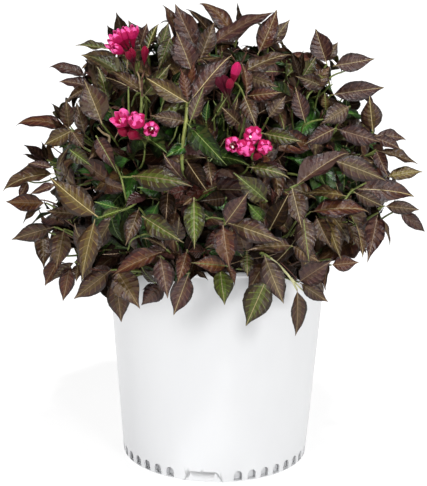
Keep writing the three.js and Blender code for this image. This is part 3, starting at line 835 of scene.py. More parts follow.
def sprout(node_at, axis, spin, length, open_angle, tint, rib, deep, out, group, fine, light=0.5, droop=0.3):
    """A pair of opposite leaves at a node of a shoot."""
    ref = square_to(np.cross(axis, [0.2, 0.3, 0.93]), axis)
    other = np.cross(axis, ref)
    for half in (0, math.pi):
        a = spin + half + rng.normal(0, 0.14)
        o = ref * math.cos(a) + other * math.sin(a)
        open_by = open_angle + rng.normal(0, 0.12)
        way = math.cos(open_by) * axis + math.sin(open_by) * o
        face = math.sin(open_by) * axis - math.cos(open_by) * o
        way = unit(way + np.array([0, 0, -1.0]) * droop * rng.uniform(0.5, 1.3))
        face = square_to(face + light * rng.uniform(0.15, 1.6) * (0.65 * UP + 0.55 * out), way)
        size = length * rng.uniform(0.86, 1.13)
        leaves.add(
            at=node_at + o * 0.0008,
            way=way,
            face=face,
            length=size,
            width=size * rng.uniform(0.38, 0.49),
            arch=rng.uniform(0.4, 1.4) * (0.6 if size < 0.03 else 1),
            fold=rng.uniform(0.25, 0.85) if size > 0.03 else rng.uniform(0.5, 0.95),
            curl=rng.uniform(-0.15, 0.60),
            wave=rng.uniform(0.08, 0.30),
            twist=rng.normal(0, 0.34),
            hook=rng.uniform(0.2, 1.0),
            side_bend=rng.normal(0, 0.06),
            tint=TINT[tint],
            rib=RIB[rib],
            fine=fine,
            group=group,
            droop=droop,
            keep=0,
        )


def nearest_cell(point):
    return min(range(len(cells)), key=lambda i: np.linalg.norm(cells[i]["centre"] * MM - point))


golden = math.pi * (3 - math.sqrt(5))
SHOOTS = 205
low_z = math.sin(math.radians(-17))
shoots = []
for i in range(SHOOTS):
    z = 1 - (1 - low_z) * (i + 0.5) / SHOOTS
    e = math.asin(z) + rng.normal(0, 0.05)
    e = max(e, math.radians(-18))
    a = golden * i + rng.normal(0, 0.07)
    out = np.array([math.cos(e) * math.cos(a), math.cos(e) * math.sin(a), math.sin(e)])
    r = 0.209 * (1 + rng.normal(0, 0.035))
    tip = CROWN + out * r
    lift = 0.75 if e > 0.6 else 0.55 if e > 0.15 else 0.25
    axis = unit(out + UP * lift * rng.uniform(0.4, 1.5) + rng.normal(0, 0.22, 3))
    shoots.append(dict(tip=tip, axis=axis, out=out, e=e))

for number, s in enumerate(shoots):
    cell_number = nearest_cell(s["tip"] - s["out"] * 0.03)
    cell = cells[cell_number]
    s["cell"] = cell_number
    out, axis, tip = s["out"], s["axis"], s["tip"]
    limb = LIMB[cell["limb"]] * MM
    root, grow = along(limb, rng.uniform(0.62, 0.98))
    root, grow = root[0], grow[0]
    reach = np.linalg.norm(tip - root)
    path = bezier(root, root + grow * reach * 0.35, tip - axis * reach * 0.45, tip, 18)
    radii = np.linspace(1.8, 0.6, 18) * MM
    length = np.linalg.norm(np.diff(path, axis=0), axis=1).sum()
    young = rng.random() < 0.24
    colours = [TWIG_OLD] * 9 + [TWIG_YOUNG if young else TWIG_RED] * 8
    carried_leaves = []
    waiting.append((path, radii, 6, colours, carried_leaves))
    s["path"], s["length"] = path, length
    family = pick(["bronze", "bark_brown", "olive", "plum", "russet", "slate", "chocolate", "umber"], [18, 16, 14, 12, 9, 8, 14, 9])
    spin = rng.random() * math.pi
    # the terminal bud and the leaf pairs behind it
    plan = [
        (0.0, 0.016, 0.25),
        (0.004, 0.032, 0.50),
        (0.014, 0.054, 0.80),
        (0.030, 0.062, 1.15),
        (0.051, 0.068, 1.35),
        (0.075, 0.068, 1.45),
        (0.102, 0.062, 1.45),
        (0.131, 0.058, 1.45),
    ]
    for k, (back, size, open_angle) in enumerate(plan):
        back = back * rng.uniform(0.85, 1.15)
        if back > length * 0.85:
            continue
        at, way = along(path, 1 - back / length)
        at, way = at[0], way[0]
        deep = k >= 6
        if k <= 1:
            tint = pick(["night", "russet", "plum", "bark_brown"], [4, 3, 3, 3])
            rib = pick(["red", "tan", "dark"], [2, 1, 2])
        # painted shade: the oldest pairs, deep in the crown, get dark tints and dark ribs, partly the greener colour of
        # leaves grown in shade and partly painted shade in the near-black night tint
        elif deep:
            tint = pick(["deep_green", "night", "green", "bark_brown"], [6, 5, 1, 2])
            rib = pick(["lime", "dark", "tan"], [2, 3, 2])
        else:
            tint = family if rng.random() < 0.5 else pick(["bronze", "bark_brown", "olive", "plum", "russet", "slate", "green", "deep_green", "tan", "lime", "chocolate", "umber", "pale_bronze"], [16, 14, 12, 9, 7, 7, 3, 5, 3, 0.8, 12, 10, 4])
            rib = pick(["cream", "tan", "lime"], [6, 5, 2]) if tint not in ("green", "lime") else "lime"
        sprout(
            at,
            way,
            spin + k * math.pi / 2,
            size,
            open_angle,
            tint,
            rib,
            deep,
            out,
            cell_number,
            fine=1 if 2 <= k <= 5 else 0,
            light=0.8 if k > 2 else 0.3,
            droop=(0.10 if k < 2 else 0.34) * (1.35 if s["e"] < 0.2 else 1.0),
        )
        carried_leaves += [(len(leaves.rows) - 2, 1 - back / length), (len(leaves.rows) - 1, 1 - back / length)]

# ---------------------------------------------------------------- leaves that hang over the rim, and green growth inside
for i in range(96):
    a = golden * i + rng.normal(0, 0.08)
    flat = np.array([math.cos(a), math.sin(a), 0])
    base = flat * rng.uniform(0.134, 0.168) + UP * rng.uniform(0.255, 0.292)
    number = nearest_cell(base)
    root, grow = along(LIMB[cells[number]["limb"]] * MM, rng.uniform(0.7, 0.95))
    reach = np.linalg.norm(base - root[0])
    path = bezier(root[0], root[0] + grow[0] * reach * 0.4, base - flat * reach * 0.35 + UP * 0.008, base, 12)
    waiting.append((path, np.linspace(1.4, 0.6, 12) * MM, 6, [TWIG_OLD] * 7 + [TWIG_RED] * 4, [(len(leaves.rows), 1), (len(leaves.rows) + 1, 1)]))
    side = np.cross(UP, flat)
    for turn in (-0.55, 0.55):
        fall = rng.uniform(0.5, 1.5)
        way = unit(flat * math.cos(turn) * 0.8 + side * math.sin(turn) - UP * fall)
        size = rng.uniform(0.050, 0.070)
        leaves.add(
            at=base,
            way=way,
            face=square_to(flat * 0.9 + UP * 0.5 + rng.normal(0, 0.25, 3), way),
            length=size,
            width=size * rng.uniform(0.42, 0.52),
            arch=rng.uniform(0.1, 0.5),
            fold=rng.uniform(0.2, 0.6),
            curl=rng.uniform(0.1, 0.35),
            wave=rng.uniform(0.06, 0.18),
            twist=rng.normal(0, 0.15),
            hook=rng.uniform(0.1, 0.6),
            side_bend=rng.normal(0, 0.05),
            tint=TINT[pick(["bark_brown", "plum", "russet", "bronze", "night", "olive"], [26, 22, 18, 14, 10, 8])],
            rib=RIB[pick(["tan", "cream", "dark"], [5, 3, 2])],
            fine=1,
            group=number,
            droop=0,
            keep=0,
        )
for i in range(120):
    z = 1 - 1.15 * (i + 0.5) / 120
    a = golden * i * 1.7 + rng.normal(0, 0.2)
    flat = math.sqrt(max(0, 1 - z * z))
    out = np.array([flat * math.cos(a), flat * math.sin(a), z])
    base = CROWN + out * rng.uniform(0.150, 0.192)
    number = nearest_cell(base)
    root, grow = along(LIMB[cells[number]["limb"]] * MM, rng.uniform(0.6, 0.95))
    reach = np.linalg.norm(base - root[0])
    axis = unit(out + UP * 0.6 + rng.normal(0, 0.3, 3))
    path = bezier(root[0], root[0] + grow[0] * reach * 0.3, base - axis * reach * 0.4, base, 10)
    first = len(leaves.rows)
    waiting.append((path, np.linspace(1.0, 0.5, 10) * MM, 5, [TWIG_OLD] * 4 + [1] * 5, [(first + j, 1 - (0, 0.006, 0.022)[j // 2] / reach) for j in range(6)]))
    spin = rng.random() * 6.283
    for k, (back, size) in enumerate(((0.0, 0.024), (0.006, 0.038), (0.022, 0.048))):
        sprout(base - axis * back, axis, spin + k * 1.57, size, 0.4 + 0.35 * k, pick(["deep_green", "green", "olive", "bronze"], [6, 3, 3, 2]), pick(["lime", "green", "dark"], [3, 3, 2]), True, out, number, fine=0, light=0.4, droop=0.1)

# ---------------------------------------------------------------- the photograph's own leaves
# Each is base x, y, tip x, y and width seen, in the photograph's pixels, then tint, rib and, where they matter,
# how far it stands in front of (+) or behind (-) its usual place in mm, and its arch.
HERO = [
    # upper left
    (126, 50, 116, 12, 14, "night", "dark", -14, 0.3),
    (146, 52, 129, 20, 23, "plum", "tan", -6, 0.4),
    (110, 49, 75, 46, 8, "olive", "cream", 0, 0.12),
    (122, 63, 81, 54, 18, "olive_tan", "cream", 4, 0.5),
    (129, 82, 85, 58, 15, "olive", "tan", 6, 0.7),
    (100, 96, 86, 60, 13, "slate", "tan", -4, 0.4),
    (87, 77, 49, 68, 11, "plum", "dark", 0, 0.9),
    (93, 88, 58, 83, 11, "plum", "tan", 0, 0.7),
    (86, 88, 66, 100, 9, "bark_brown", "tan", -4, 0.6),
    (102, 124, 86, 80, 30, "pale_bronze", "cream", 10, 0.35),
    (108, 105, 97, 66, 13, "olive", "cream", 2, 0.4),
    (70, 129, 52, 103, 9, "night", "dark", 0, 0.2),
    (69, 129, 66, 100, 18, "pale_bronze", "tan", 4, 0.4),
    (68, 129, 15, 129, 13, "russet", "tan", 4, 1.1),
    (73, 130, 44, 145, 17, "olive_tan", "cream", 8, 0.6),
    (72, 131, 84, 150, 15, "bark_brown", "tan", 0, 0.5),
    (143, 97, 170, 63, 17, "olive", "cream", 12, 1.0),
    (144, 92, 112, 70, 16, "bronze", "tan", 0, 0.7),
    (138, 92, 104, 78, 12, "night", "cream", 2, 0.5),
    # top
    (183, 48, 163, 5, 14, "chocolate", "dark", -8, 0.3),
    (197, 52, 176, 4, 23, "plum", "tan", 0, 0.35),
    (216, 42, 186, 9, 11, "night", "tan", -6, 0.4),
    (236, 40, 198, 5, 14, "chocolate", "tan", 0, 1.0),
    (238, 30, 236, 2, 5, "night", "dark", -10, 0.1),
    (209, 47, 277, 12, 19, "pale_plum", "tan", 13, 0.4),
    (258, 54, 279, 11, 20, "russet", "cream", 6, 0.4),
    (268, 48, 289, 19, 14, "slate", "cream", 0, 0.3),
    (192, 72, 178, 31, 28, "pale_plum", "cream", 10, 0.3),
    (200, 60, 214, 22, 18, "bark_brown", "tan", -2, 0.4),
    (188, 103, 146, 78, 19, "olive_tan", "straw", 20, 0.6),
    (190, 102, 231, 55, 22, "pale_plum", "straw", 22, 0.3),
    (188, 102, 181, 68, 13, "russet", "red", 16, 0.3),
    (189, 102, 196, 60, 12, "russet", "red", 12, 0.3),
    (190, 122, 206, 88, 14, "slate", "lime", 14, 0.4),
    (187, 122, 150, 114, 16, "bark_brown", "tan", 12, 0.6),
    (187, 123, 227, 165, 24, "deep_green", "lime", 14, 0.4),
    (170, 38, 158, 70, 15, "olive", "tan", -6, 0.5),
    (147, 51, 159, 24, 8, "olive", "straw", 4, 0.3),
    (160, 52, 168, 22, 13, "olive", "tan", 2, 0.3),
    (140, 46, 147, 23, 11, "plum", "tan", -4, 0.3),
    (117, 42, 107, 25, 9, "night", "dark", -10, 0.3),
    (222, 52, 232, 55, 20, "night", "dark", 0, 0.3),
    (247, 96, 241, 62, 9, "russet", "tan", 2, 0.4),
    (244, 96, 258, 128, 17, "bark_brown", "cream", 12, 0.5),
    (247, 96, 282, 92, 15, "russet", "cream", 8, 0.8),
    (240, 74, 292, 55, 16, "bark_brown", "cream", 4, 0.5),
    (246, 76, 278, 88, 18, "slate", "tan", 0, 0.5),
    (262, 133, 302, 142, 17, "olive", "cream", 12, 0.6),
    (268, 118, 286, 96, 14, "slate", "tan", 4, 0.5),
    (240, 124, 221, 107, 18, "bark_brown", "cream", 2, 0.4),
    # upper right
    (327, 64, 315, 29, 28, "plum", "cream", 4, 0.3),
    (324, 62, 338, 42, 17, "slate", "tan", 1, 0.3),
    (333, 66, 375, 59, 19, "pale_plum", "cream", 6, 0.3),
    (331, 95, 384, 86, 20, "plum", "cream", 6, 0.5),
    (373, 132, 369, 96, 28, "bronze", "straw", 6, 0.4),
    (374, 136, 406, 141, 11, "pale_plum", "tan", 2, 0.9),
    (374, 138, 401, 151, 10, "plum", "tan", 0, 0.6),
    (300, 78, 291, 51, 8, "night", "dark", 2, 0.1),
    (301, 78, 303, 50, 8, "night", "dark", 4, 0.1),
    (301, 80, 316, 56, 14, "olive", "tan", -2, 0.3),
    (305, 122, 295, 86, 17, "plum", "cream", 10, 0.4),
    (350, 106, 320, 124, 20, "slate", "tan", 4, 0.5),
    (336, 128, 303, 144, 17, "plum", "cream", 8, 0.6),
    (337, 129, 380, 142, 20, "plum", "tan", 2, 0.6),
    (330, 84, 318, 74, 11, "straw", "lime", 6, 0.3),
    (326, 110, 325, 92, 9, "straw", "lime", 2, 0.3),
    (322, 86, 296, 74, 16, "pale_bronze", "cream", -2, 0.5),
    (308, 92, 330, 66, 18, "tan", "red", 0, 0.4),
    # middle right
    (294, 187, 349, 153, 21, "pale_plum", "cream", 14, 0.4),
    (292, 188, 302, 228, 27, "bark_brown", "cream", 18, 0.4),
    (333, 160, 386, 179, 23, "pale_bronze", "cream", 8, 0.5),
    (378, 151, 418, 163, 8, "bark_brown", "tan", 0, 0.12),
    (376, 150, 388, 178, 13, "plum", "tan", 2, 0.5),
    (386, 177, 423, 172, 12, "straw", "cream", 2, 0.3),
    (352, 189, 414, 199, 23, "plum", "straw", 6, 0.9),
    (354, 192, 383, 207, 15, "bark_brown", "cream", 4, 0.5),
    (384, 206, 419, 210, 14, "bark_brown", "tan", 4, 0.6),
    (399, 210, 425, 231, 13, "plum", "dark", 0, 0.7),
    (378, 213, 369, 263, 20, "plum", "tan", 4, 0.3),
    (381, 217, 389, 246, 5, "slate", "dark", -2, 0.15),
    (310, 212, 369, 213, 17, "russet", "cream", 8, 0.6),
    (356, 224, 362, 258, 9, "tan", "cream", 4, 0.3),
    (326, 217, 340, 260, 17, "olive_tan", "cream", 8, 0.4),
    (347, 222, 357, 250, 9, "bark_brown", "dark", 0, 0.4),
    (346, 196, 302, 196, 13, "olive_tan", "cream", 4, 0.5),
    (303, 214, 309, 262, 22, "slate", "lime", 10, 0.4),
    (316, 216, 330, 248, 18, "bark_brown", "tan", 4, 0.4),
    (331, 265, 359, 262, 18, "russet", "tan", 4, 0.12),
    (330, 259, 326, 291, 7, "plum", "tan", 6, 0.3),
    (299, 282, 331, 260, 24, "pale_plum", "tan", 12, 0.5),
    (300, 283, 328, 302, 15, "bronze", "tan", 12, 0.5),
    (297, 289, 296, 336, 16, "bark_brown", "tan", 14, 0.4),
    (292, 246, 320, 262, 19, "tan", "tan", 12, 0.5),
    (292, 246, 246, 250, 17, "pale_bronze", "tan", 18, 0.5),
    # middle
    (267, 201, 234, 172, 22, "olive", "lime", 18, 0.4),
    (248, 167, 290, 178, 14, "olive", "cream", 14, 0.6),
    (270, 229, 289, 194, 21, "night", "cream", 16, 0.4),
    (264, 220, 246, 204, 13, "lime", "lime", 6, 0.4),
    (225, 224, 249, 192, 22, "pale_plum", "cream", 24, 0.35),
    (223, 225, 228, 269, 23, "russet", "tan", 26, 0.35),
    (228, 223, 283, 239, 23, "pale_bronze", "cream", 20, 0.4),
    (194, 198, 194, 249, 21, "olive_bright", "cream", 24, 0.4),
    (192, 198, 183, 206, 8, "tan", "tan", 26, 0.3),
    (226, 198, 200, 201, 16, "night", "dark", 6, 0.5),
    (132, 176, 192, 187, 24, "olive", "tan", 16, 0.7),
    (162, 190, 137, 187, 15, "green", "lime", 12, 0.6),
    (168, 190, 166, 224, 16, "night", "tan", 10, 0.4),
    (142, 216, 184, 243, 22, "olive", "cream", 16, 0.5),
    (176, 242, 181, 217, 18, "slate", "cream", 12, 0.4),
    (167, 250, 142, 237, 8, "slate", "cream", 16, 0.5),
    (139, 208, 126, 246, 16, "bark_brown", "tan", 14, 0.4),
    (208, 160, 212, 186, 14, "bark_brown", "tan", 8, 0.4),
    (186, 160, 206, 192, 20, "night", "cream", 10, 0.4),
    # left
    (50, 164, 23, 145, 11, "plum", "dark", 0, 0.4),
    (47, 160, 41, 141, 6, "night", "dark", -4, 0.2),
    (51, 166, 22, 155, 7, "night", "dark", 2, 0.4),
    (53, 168, 27, 164, 8, "pale_plum", "tan", 4, 0.4),
    (55, 174, 3, 191, 15, "bark_brown", "cream", 4, 0.9),
    (46, 203, 6, 203, 18, "rust", "tan", 6, 0.15),
    (57, 184, 30, 197, 9, "pale_plum", "tan", 2, 0.2),
    (28, 181, 19, 200, 9, "russet", "tan", 4, 0.2),
    (54, 227, 11, 238, 18, "bark_brown", "tan", 6, 0.45),
    (43, 207, 24, 226, 6, "bark_brown", "dark", 0, 0.9),
    (98, 217, 48, 180, 27, "olive_tan", "straw", 14, 0.4),
    (101, 217, 125, 209, 9, "olive_bright", "lime", 16, 0.3),
    (118, 208, 94, 202, 10, "green", "lime", 8, 0.4),
    (95, 219, 84, 280, 22, "olive_tan", "cream", 14, 0.3),
    (80, 214, 46, 212, 14, "bark_brown", "tan", 0, 0.5),
    (43, 231, 42, 269, 18, "bark_brown", "tan", 0, 0.4),
    (64, 229, 56, 268, 26, "bronze", "tan", 6, 0.4),
    (61, 256, 44, 285, 16, "russet", "tan", 0, 0.4),
    (75, 262, 52, 281, 8, "slate", "dark", 2, 0.3),
    (70, 263, 64, 301, 16, "russet", "tan", 4, 0.3),
    (78, 264, 76, 282, 12, "bark_brown", "tan", 0, 0.3),
    (111, 270, 74, 299, 21, "bronze", "tan", 12, 0.4),
    (162, 252, 111, 273, 20, "russet", "tan", 20, 0.5),
    (116, 270, 141, 308, 27, "bronze", "tan", 28, 0.35),
    (116, 277, 121, 322, 23, "bark_brown", "tan", 7, 0.3),
    (164, 283, 142, 306, 24, "plum", "dark", 12, 0.5),
    (160, 256, 169, 298, 21, "pale_plum", "tan", 20, 0.4),
    (187, 250, 179, 284, 15, "russet", "tan", 18, 0.4),
    (189, 273, 173, 315, 22, "pale_plum", "cream", 22, 0.4),
    (227, 266, 191, 262, 17, "rust", "green", 24, 0.5),
    (193, 270, 208, 281, 5, "night", "dark", 12, 0.7),
    (220, 268, 224, 305, 21, "olive_bright", "cream", 22, 0.4),
    (226, 264, 235, 286, 7, "russet", "dark", 16, 0.5),
    (247, 252, 247, 277, 14, "olive", "tan", 14, 0.4),
    (264, 254, 282, 304, 23, "slate", "cream", 18, 0.4),
    (274, 270, 284, 300, 10, "night", "dark", 10, 0.5),
    (267, 278, 246, 326, 29, "olive", "cream", 24, 0.4),
    (214, 118, 226, 96, 9, "olive", "lime", 6, 0.3),
    (224, 120, 213, 100, 8, "deep_green", "lime", 2, 0.3),
    (233, 118, 238, 98, 9, "bark_brown", "cream", 4, 0.3),
    (206, 122, 208, 100, 8, "green", "lime", 0, 0.3),
    (85, 135, 76, 103, 14, "bark_brown", "tan", -2, 0.3),
    (96, 136, 118, 172, 16, "plum", "lime", 8, 0.4),
    (104, 140, 88, 160, 14, "tan", "tan", 4, 0.5),
    (70, 150, 92, 166, 15, "olive", "lime", 2, 0.4),
]
# Stems that show in the photograph: points in pixels, how far in front of their usual place, radii and kind.
STEMS = [
    ([(188, 103), (186, 122), (183, 142), (182, 160)], 14, 2.1, 1.9, "olive"),
    ([(205, 92), (199, 101), (194, 110), (190, 122)], 12, 0.8, 1.0, "lime"),
    ([(128, 55), (127, 70), (128, 82)], 10, 0.7, 0.9, "tan"),
    ([(134, 66), (139, 76), (141, 92)], 8, 0.8, 1.2, "tan"),
    ([(146, 66), (142, 78), (142, 97)], 8, 0.9, 1.3, "red"),
    ([(345, 71), (333, 75), (322, 85), (313, 90)], -4, 0.9, 1.2, "lime"),
    ([(98, 218), (112, 214), (126, 209)], 10, 1.0, 1.2, "lime"),
    ([(60, 119), (69, 129), (77, 141)], 4, 0.8, 1.1, "tan"),
    ([(297, 290), (290, 277), (279, 265), (270, 258)], 12, 1.0, 1.3, "pale"),
    ([(310, 296), (300, 288), (291, 278)], 12, 0.7, 0.9, "pale"),
    ([(366, 183), (352, 190), (344, 201)], 1, 0.9, 1.2, "lime"),
    ([(112, 158), (121, 176), (124, 190)], 8, 0.9, 1.1, "lime"),
    ([(121, 177), (134, 177)], 8, 1.0, 0.9, "lime"),
    ([(256, 130), (249, 110), (244, 96)], 10, 0.9, 1.1, "tan"),
    ([(231, 55), (241, 70), (247, 96), (246, 110)], 8, 0.8, 1.2, "red"),
    ([(160, 112), (165, 97)], 0, 0.7, 0.8, "lime"),
    ([(175, 113), (180, 98)], 0, 0.7, 0.8, "lime"),
    ([(212, 121), (221, 106), (222, 97)], 2, 0.8, 1.0, "lime"),
    ([(230, 110), (237, 97)], 0, 0.7, 0.8, "lime"),
    ([(152, 104), (145, 96)], 2, 0.7, 0.9, "lime"),
    ([(168, 146), (174, 138), (177, 128)], 0, 0.7, 0.9, "lime"),
    ([(128, 250), (131, 240), (139, 236)], 8, 0.8, 0.9, "lime"),
    ([(98, 128), (104, 134), (110, 136), (108, 146)], 8, 1.0, 1.6, "tan"),
    ([(303, 126), (310, 122), (318, 120)], 1, 0.8, 1.0, "lime"),
    ([(290, 188), (297, 185)], 14, 1.0, 1.2, "lime"),
    ([(206, 219), (212, 217), (221, 219)], 14, 0.8, 1.0, "lime"),
]
# Places where the photograph shows sky through the crown's edge: x, y and half sizes.
SKY = [
    (35, 184, 8, 5), (33, 215, 6, 3), (93, 187, 3, 1), (69, 256, 4, 3), (100, 264, 1, 3),
    (75, 123, 2, 4), (97, 134, 2, 1), (168, 29, 6, 6), (250, 34, 5, 4), (227, 42, 2, 2), (214, 17, 9, 4),
    (56, 152, 5, 2), (342, 253, 3, 5), (366, 150, 4, 2), (400, 164, 9, 3),
    (297, 37, 9, 15), (246, 40, 6, 4), (338, 84, 4, 6), (352, 76, 9, 2), (355, 106, 3, 5), (393, 112, 7, 14), (390, 147, 8, 2), (333, 250, 2, 6), (332, 276, 3, 9),
    (38, 138, 9, 7), (22, 158, 5, 4), (38, 184, 10, 6), (46, 176, 5, 2), (58, 123, 3, 2), (61, 92, 7, 4), (66, 76, 9, 2.5), (27, 249, 6, 6), (48, 196, 4, 2), (60, 217, 4, 1.5),
    (70, 232, 3, 1.5), (46, 112, 5, 3), (75, 123, 4, 6), (69, 255, 5, 6), (288, 290, 4, 10), (307, 300, 6, 5), (240, 283, 4, 9), (88, 41, 10, 2), (400, 140, 6, 2), (411, 224, 6, 4), (385, 124, 4, 4),
    (136, 294, 4, 8), (205, 294, 5, 13), (214, 294, 5, 12), (236, 292, 4, 12), (100, 302, 8, 5), (290, 303, 4, 12), (312, 312, 8, 8), (340, 280, 8, 10),
    (387, 219, 3, 6), (354, 252, 3, 3), (346, 253, 2, 3), (332, 254, 2, 5),
]


def stand(px, py, forward):
    """The point that a pixel sees at a depth, forward metres in front of the nearest point to the crown's middle."""
    ray = FORWARD + RIGHT * (px - CAM_MID[0]) / CAM_F + CAM_UP * (CAM_MID[1] - py) / CAM_F
    ray /= np.linalg.norm(ray)
    t = (CROWN - CAM_AT) @ ray
    near = CAM_AT + ray * t
    return near - ray * forward, np.linalg.norm(near - CROWN)


def bulge(px, py, r):
    """How far in front of the crown's middle its skin of radius r is at a pixel, nought past its edge."""
    off = stand(px, py, 0)[1]
    return math.sqrt(max(r * r - off * off, 0))


def hero_leaf(bx, by, tx, ty, seen, tint, rib, ahead, arch):
    ahead = ahead * MM
    deep_base, deep_tip = bulge(bx, by, 0.207) + ahead, bulge(tx, ty, 0.222) + ahead
    flat = np.linalg.norm(stand(bx, by, 0)[0] - stand(tx, ty, 0)[0])
    mean, most = (deep_base + deep_tip) / 2, 0.42 * flat
    lean = float(np.clip(deep_base - deep_tip, -most, most))
    base, tip = stand(bx, by, mean + lean / 2)[0], stand(tx, ty, mean - lean / 2)[0]
    chord = tip - base
    reach = np.linalg.norm(chord)
    chord /= reach
    hook = rng.uniform(0.2, 0.8)
    s = np.linspace(0, 1, 49)
    angle = arch * s**1.25 + hook * np.clip((s - 0.72) / 0.28, 0, 1) ** 2
    run, drop = np.cos(angle).mean(), np.sin(angle).mean()
    length = reach / math.hypot(run, drop)
    turn = math.atan2(drop, run)
    towards = square_to(CAM_AT - base, chord)
    above = np.cross(chord, towards)
    if above @ UP < 0:
        above = -above
    fold = rng.uniform(0.34, 0.72)
    wide = 1.02 * seen * np.linalg.norm(CAM_AT - base) / CAM_F / math.cos(fold * 0.8)
    full = max(wide, 0.40 * length)
    slant = math.acos(min(1.0, wide / full))
    face = math.cos(slant) * towards + math.sin(slant) * above
    way = math.cos(turn) * chord + math.sin(turn) * face
    leaves.add(
        at=base,
        way=way,
        face=math.cos(turn) * face - math.sin(turn) * chord,
        length=length,
        width=min(full, 0.62 * length),
        arch=arch,
        fold=fold,
        curl=rng.uniform(-0.1, 0.55),
        wave=rng.uniform(0.08, 0.26),
        twist=rng.normal(0, 0.20),
        hook=hook,
        side_bend=rng.normal(0, 0.03),
        tint=TINT[tint],
        rib=RIB[rib],
        fine=1,
        group=nearest_cell((base + tip) / 2),
        droop=0,
        keep=1,
    )
    return base


def carried(base, first=None, radius=0.9):
    """A twig from the limb of the nearest mass out to a point."""
    cell = cells[nearest_cell(base)]
    root, grow = along(LIMB[cell["limb"]] * MM, 0.86)
    out = unit(base - CROWN)
    reach = np.linalg.norm(base - root[0])
    arrive = base - (out * 0.75 + 0.25 * UP) * reach * 0.4 if first is None else base - first * reach * 0.4
    path = bezier(root[0], root[0] + grow[0] * reach * 0.3, arrive, base, 14)
    add_tube(twigs, path, np.linspace(1.7, radius, 14) * MM, 6, [TWIG_OLD] * 8 + [TWIG_YOUNG] * 5)


# Places where the green growth inside shows: x, y and half sizes.
GREENER = [
    (130, 200, 36, 44), (196, 138, 36, 26), (122, 240, 28, 14), (228, 206, 18, 12), (322, 116, 26, 20), (308, 152, 20, 12),
    (64, 150, 20, 12), (250, 88, 26, 12), (332, 190, 22, 14), (150, 150, 22, 22), (186, 100, 40, 14), (310, 245, 18, 12), (150, 270, 16, 10),
]
for row in leaves.rows:
    (px,), (dp,) = pixels((row["at"] + row["way"] * row["length"] * 0.5)[None])
    if dp < 1.36 + 0.16 and any(((px[0] - x) / a) ** 2 + ((px[1] - y) / b) ** 2 < 1 for x, y, a, b in GREENER) and rng.random() < 0.62:
        row["tint"] = TINT[pick(["deep_green", "green", "olive", "olive_bright"], [6, 4.5, 2, 0.8])]
        row["rib"] = RIB[pick(["lime", "green", "cream"], [4, 3, 2])]

# painted shade: leaves deep inside the crown, where shade falls, take the near-black umber and night tints and dark
# ribs; green ones keep a green tint
SHADED = {"deep_green": "deep_green", "green": "green", "olive": "umber", "lime": "green", "olive_bright": "green"}
for row in leaves.rows:
    if np.linalg.norm(row["at"] + row["way"] * row["length"] * 0.5 - CROWN) < 0.187 and rng.random() < 0.85:
        name = list(TINTS)[row["tint"]]
        row["tint"] = TINT[SHADED.get(name, pick(["umber", "night"], [4, 1]))]
        if row["rib"] in (RIB["cream"], RIB["straw"], RIB["tan"]):
            row["rib"] = RIB["dark"]

nodes_made = []
for row in HERO:
    base = hero_leaf(*row)
    if all(np.linalg.norm(base - b) > 0.008 for b in nodes_made):
        nodes_made.append(base)
        carried(base)
TWIG_KIND = {"olive": 3, "lime": 1, "tan": 4, "red": 2, "pale": 5}
for places, ahead, thin, thick, kind in STEMS:
    line = np.array([stand(x, y, bulge(x, y, 0.207) + ahead * MM)[0] for x, y in places])
    smooth = np.stack([np.interp(np.linspace(0, len(line) - 1, 16), np.arange(len(line)), line[:, k]) for k in range(3)], -1)
    for _ in range(3):
        smooth[1:-1] = (smooth[:-2] + 2 * smooth[1:-1] + smooth[2:]) / 4
    add_tube(twigs, smooth, np.linspace(thin, thick, 16) * MM, 7, TWIG_KIND[kind])
    carried(smooth[-1], unit(smooth[-2] - smooth[-1]), thick * 0.9)

# ---------------------------------------------------------------- flowers and buds
petals = Batch()
# the pale pink slot is partly the paler colour of the lobes and the inside, partly a painted highlight; the throat slot
# is painted light
F_TUBE, F_PINK, F_PALE_HIGHLIGHT, F_THROAT_PAINTED_LIGHT, F_WHITE, F_CREAM, F_MAROON, F_STALK = range(8)
shown = []


def frame_of(axis, spin):
    a = square_to(np.cross(axis, [0.3, 0.2, 0.93]), axis)
    b = np.cross(axis, a)
    return math.cos(spin) * a + math.sin(spin) * b, math.cos(spin) * b - math.sin(spin) * a


def stalk(base, axis, length=0.012):
    path = bezier(base - axis * length, base - axis * length * 0.6, base - axis * length * 0.3, base + axis * 0.001, 6)
    add_tube(petals, path, np.array([0.7, 0.8, 0.9, 1.1, 1.3, 1.0]) * MM, 8, F_STALK)
    a, b = frame_of(axis, 0.2)
    for k in range(5):
        t = k * 2 * math.pi / 5
        o, w = math.cos(t) * a + math.sin(t) * b, math.cos(t) * b - math.sin(t) * a
        p = base + o * 0.0012
        sepal = np.array([p - w * 0.0008, p + w * 0.0008, p + axis * 0.004 + o * 0.001 + w * 0.0007, p + axis * 0.004 + o * 0.001 - w * 0.0007, p + axis * 0.0085 + o * 0.0018])
        petals.add(sepal, [[0, 1, 2, 3]], F_STALK)
        petals.add(sepal, [[3, 2, 4]], F_STALK)


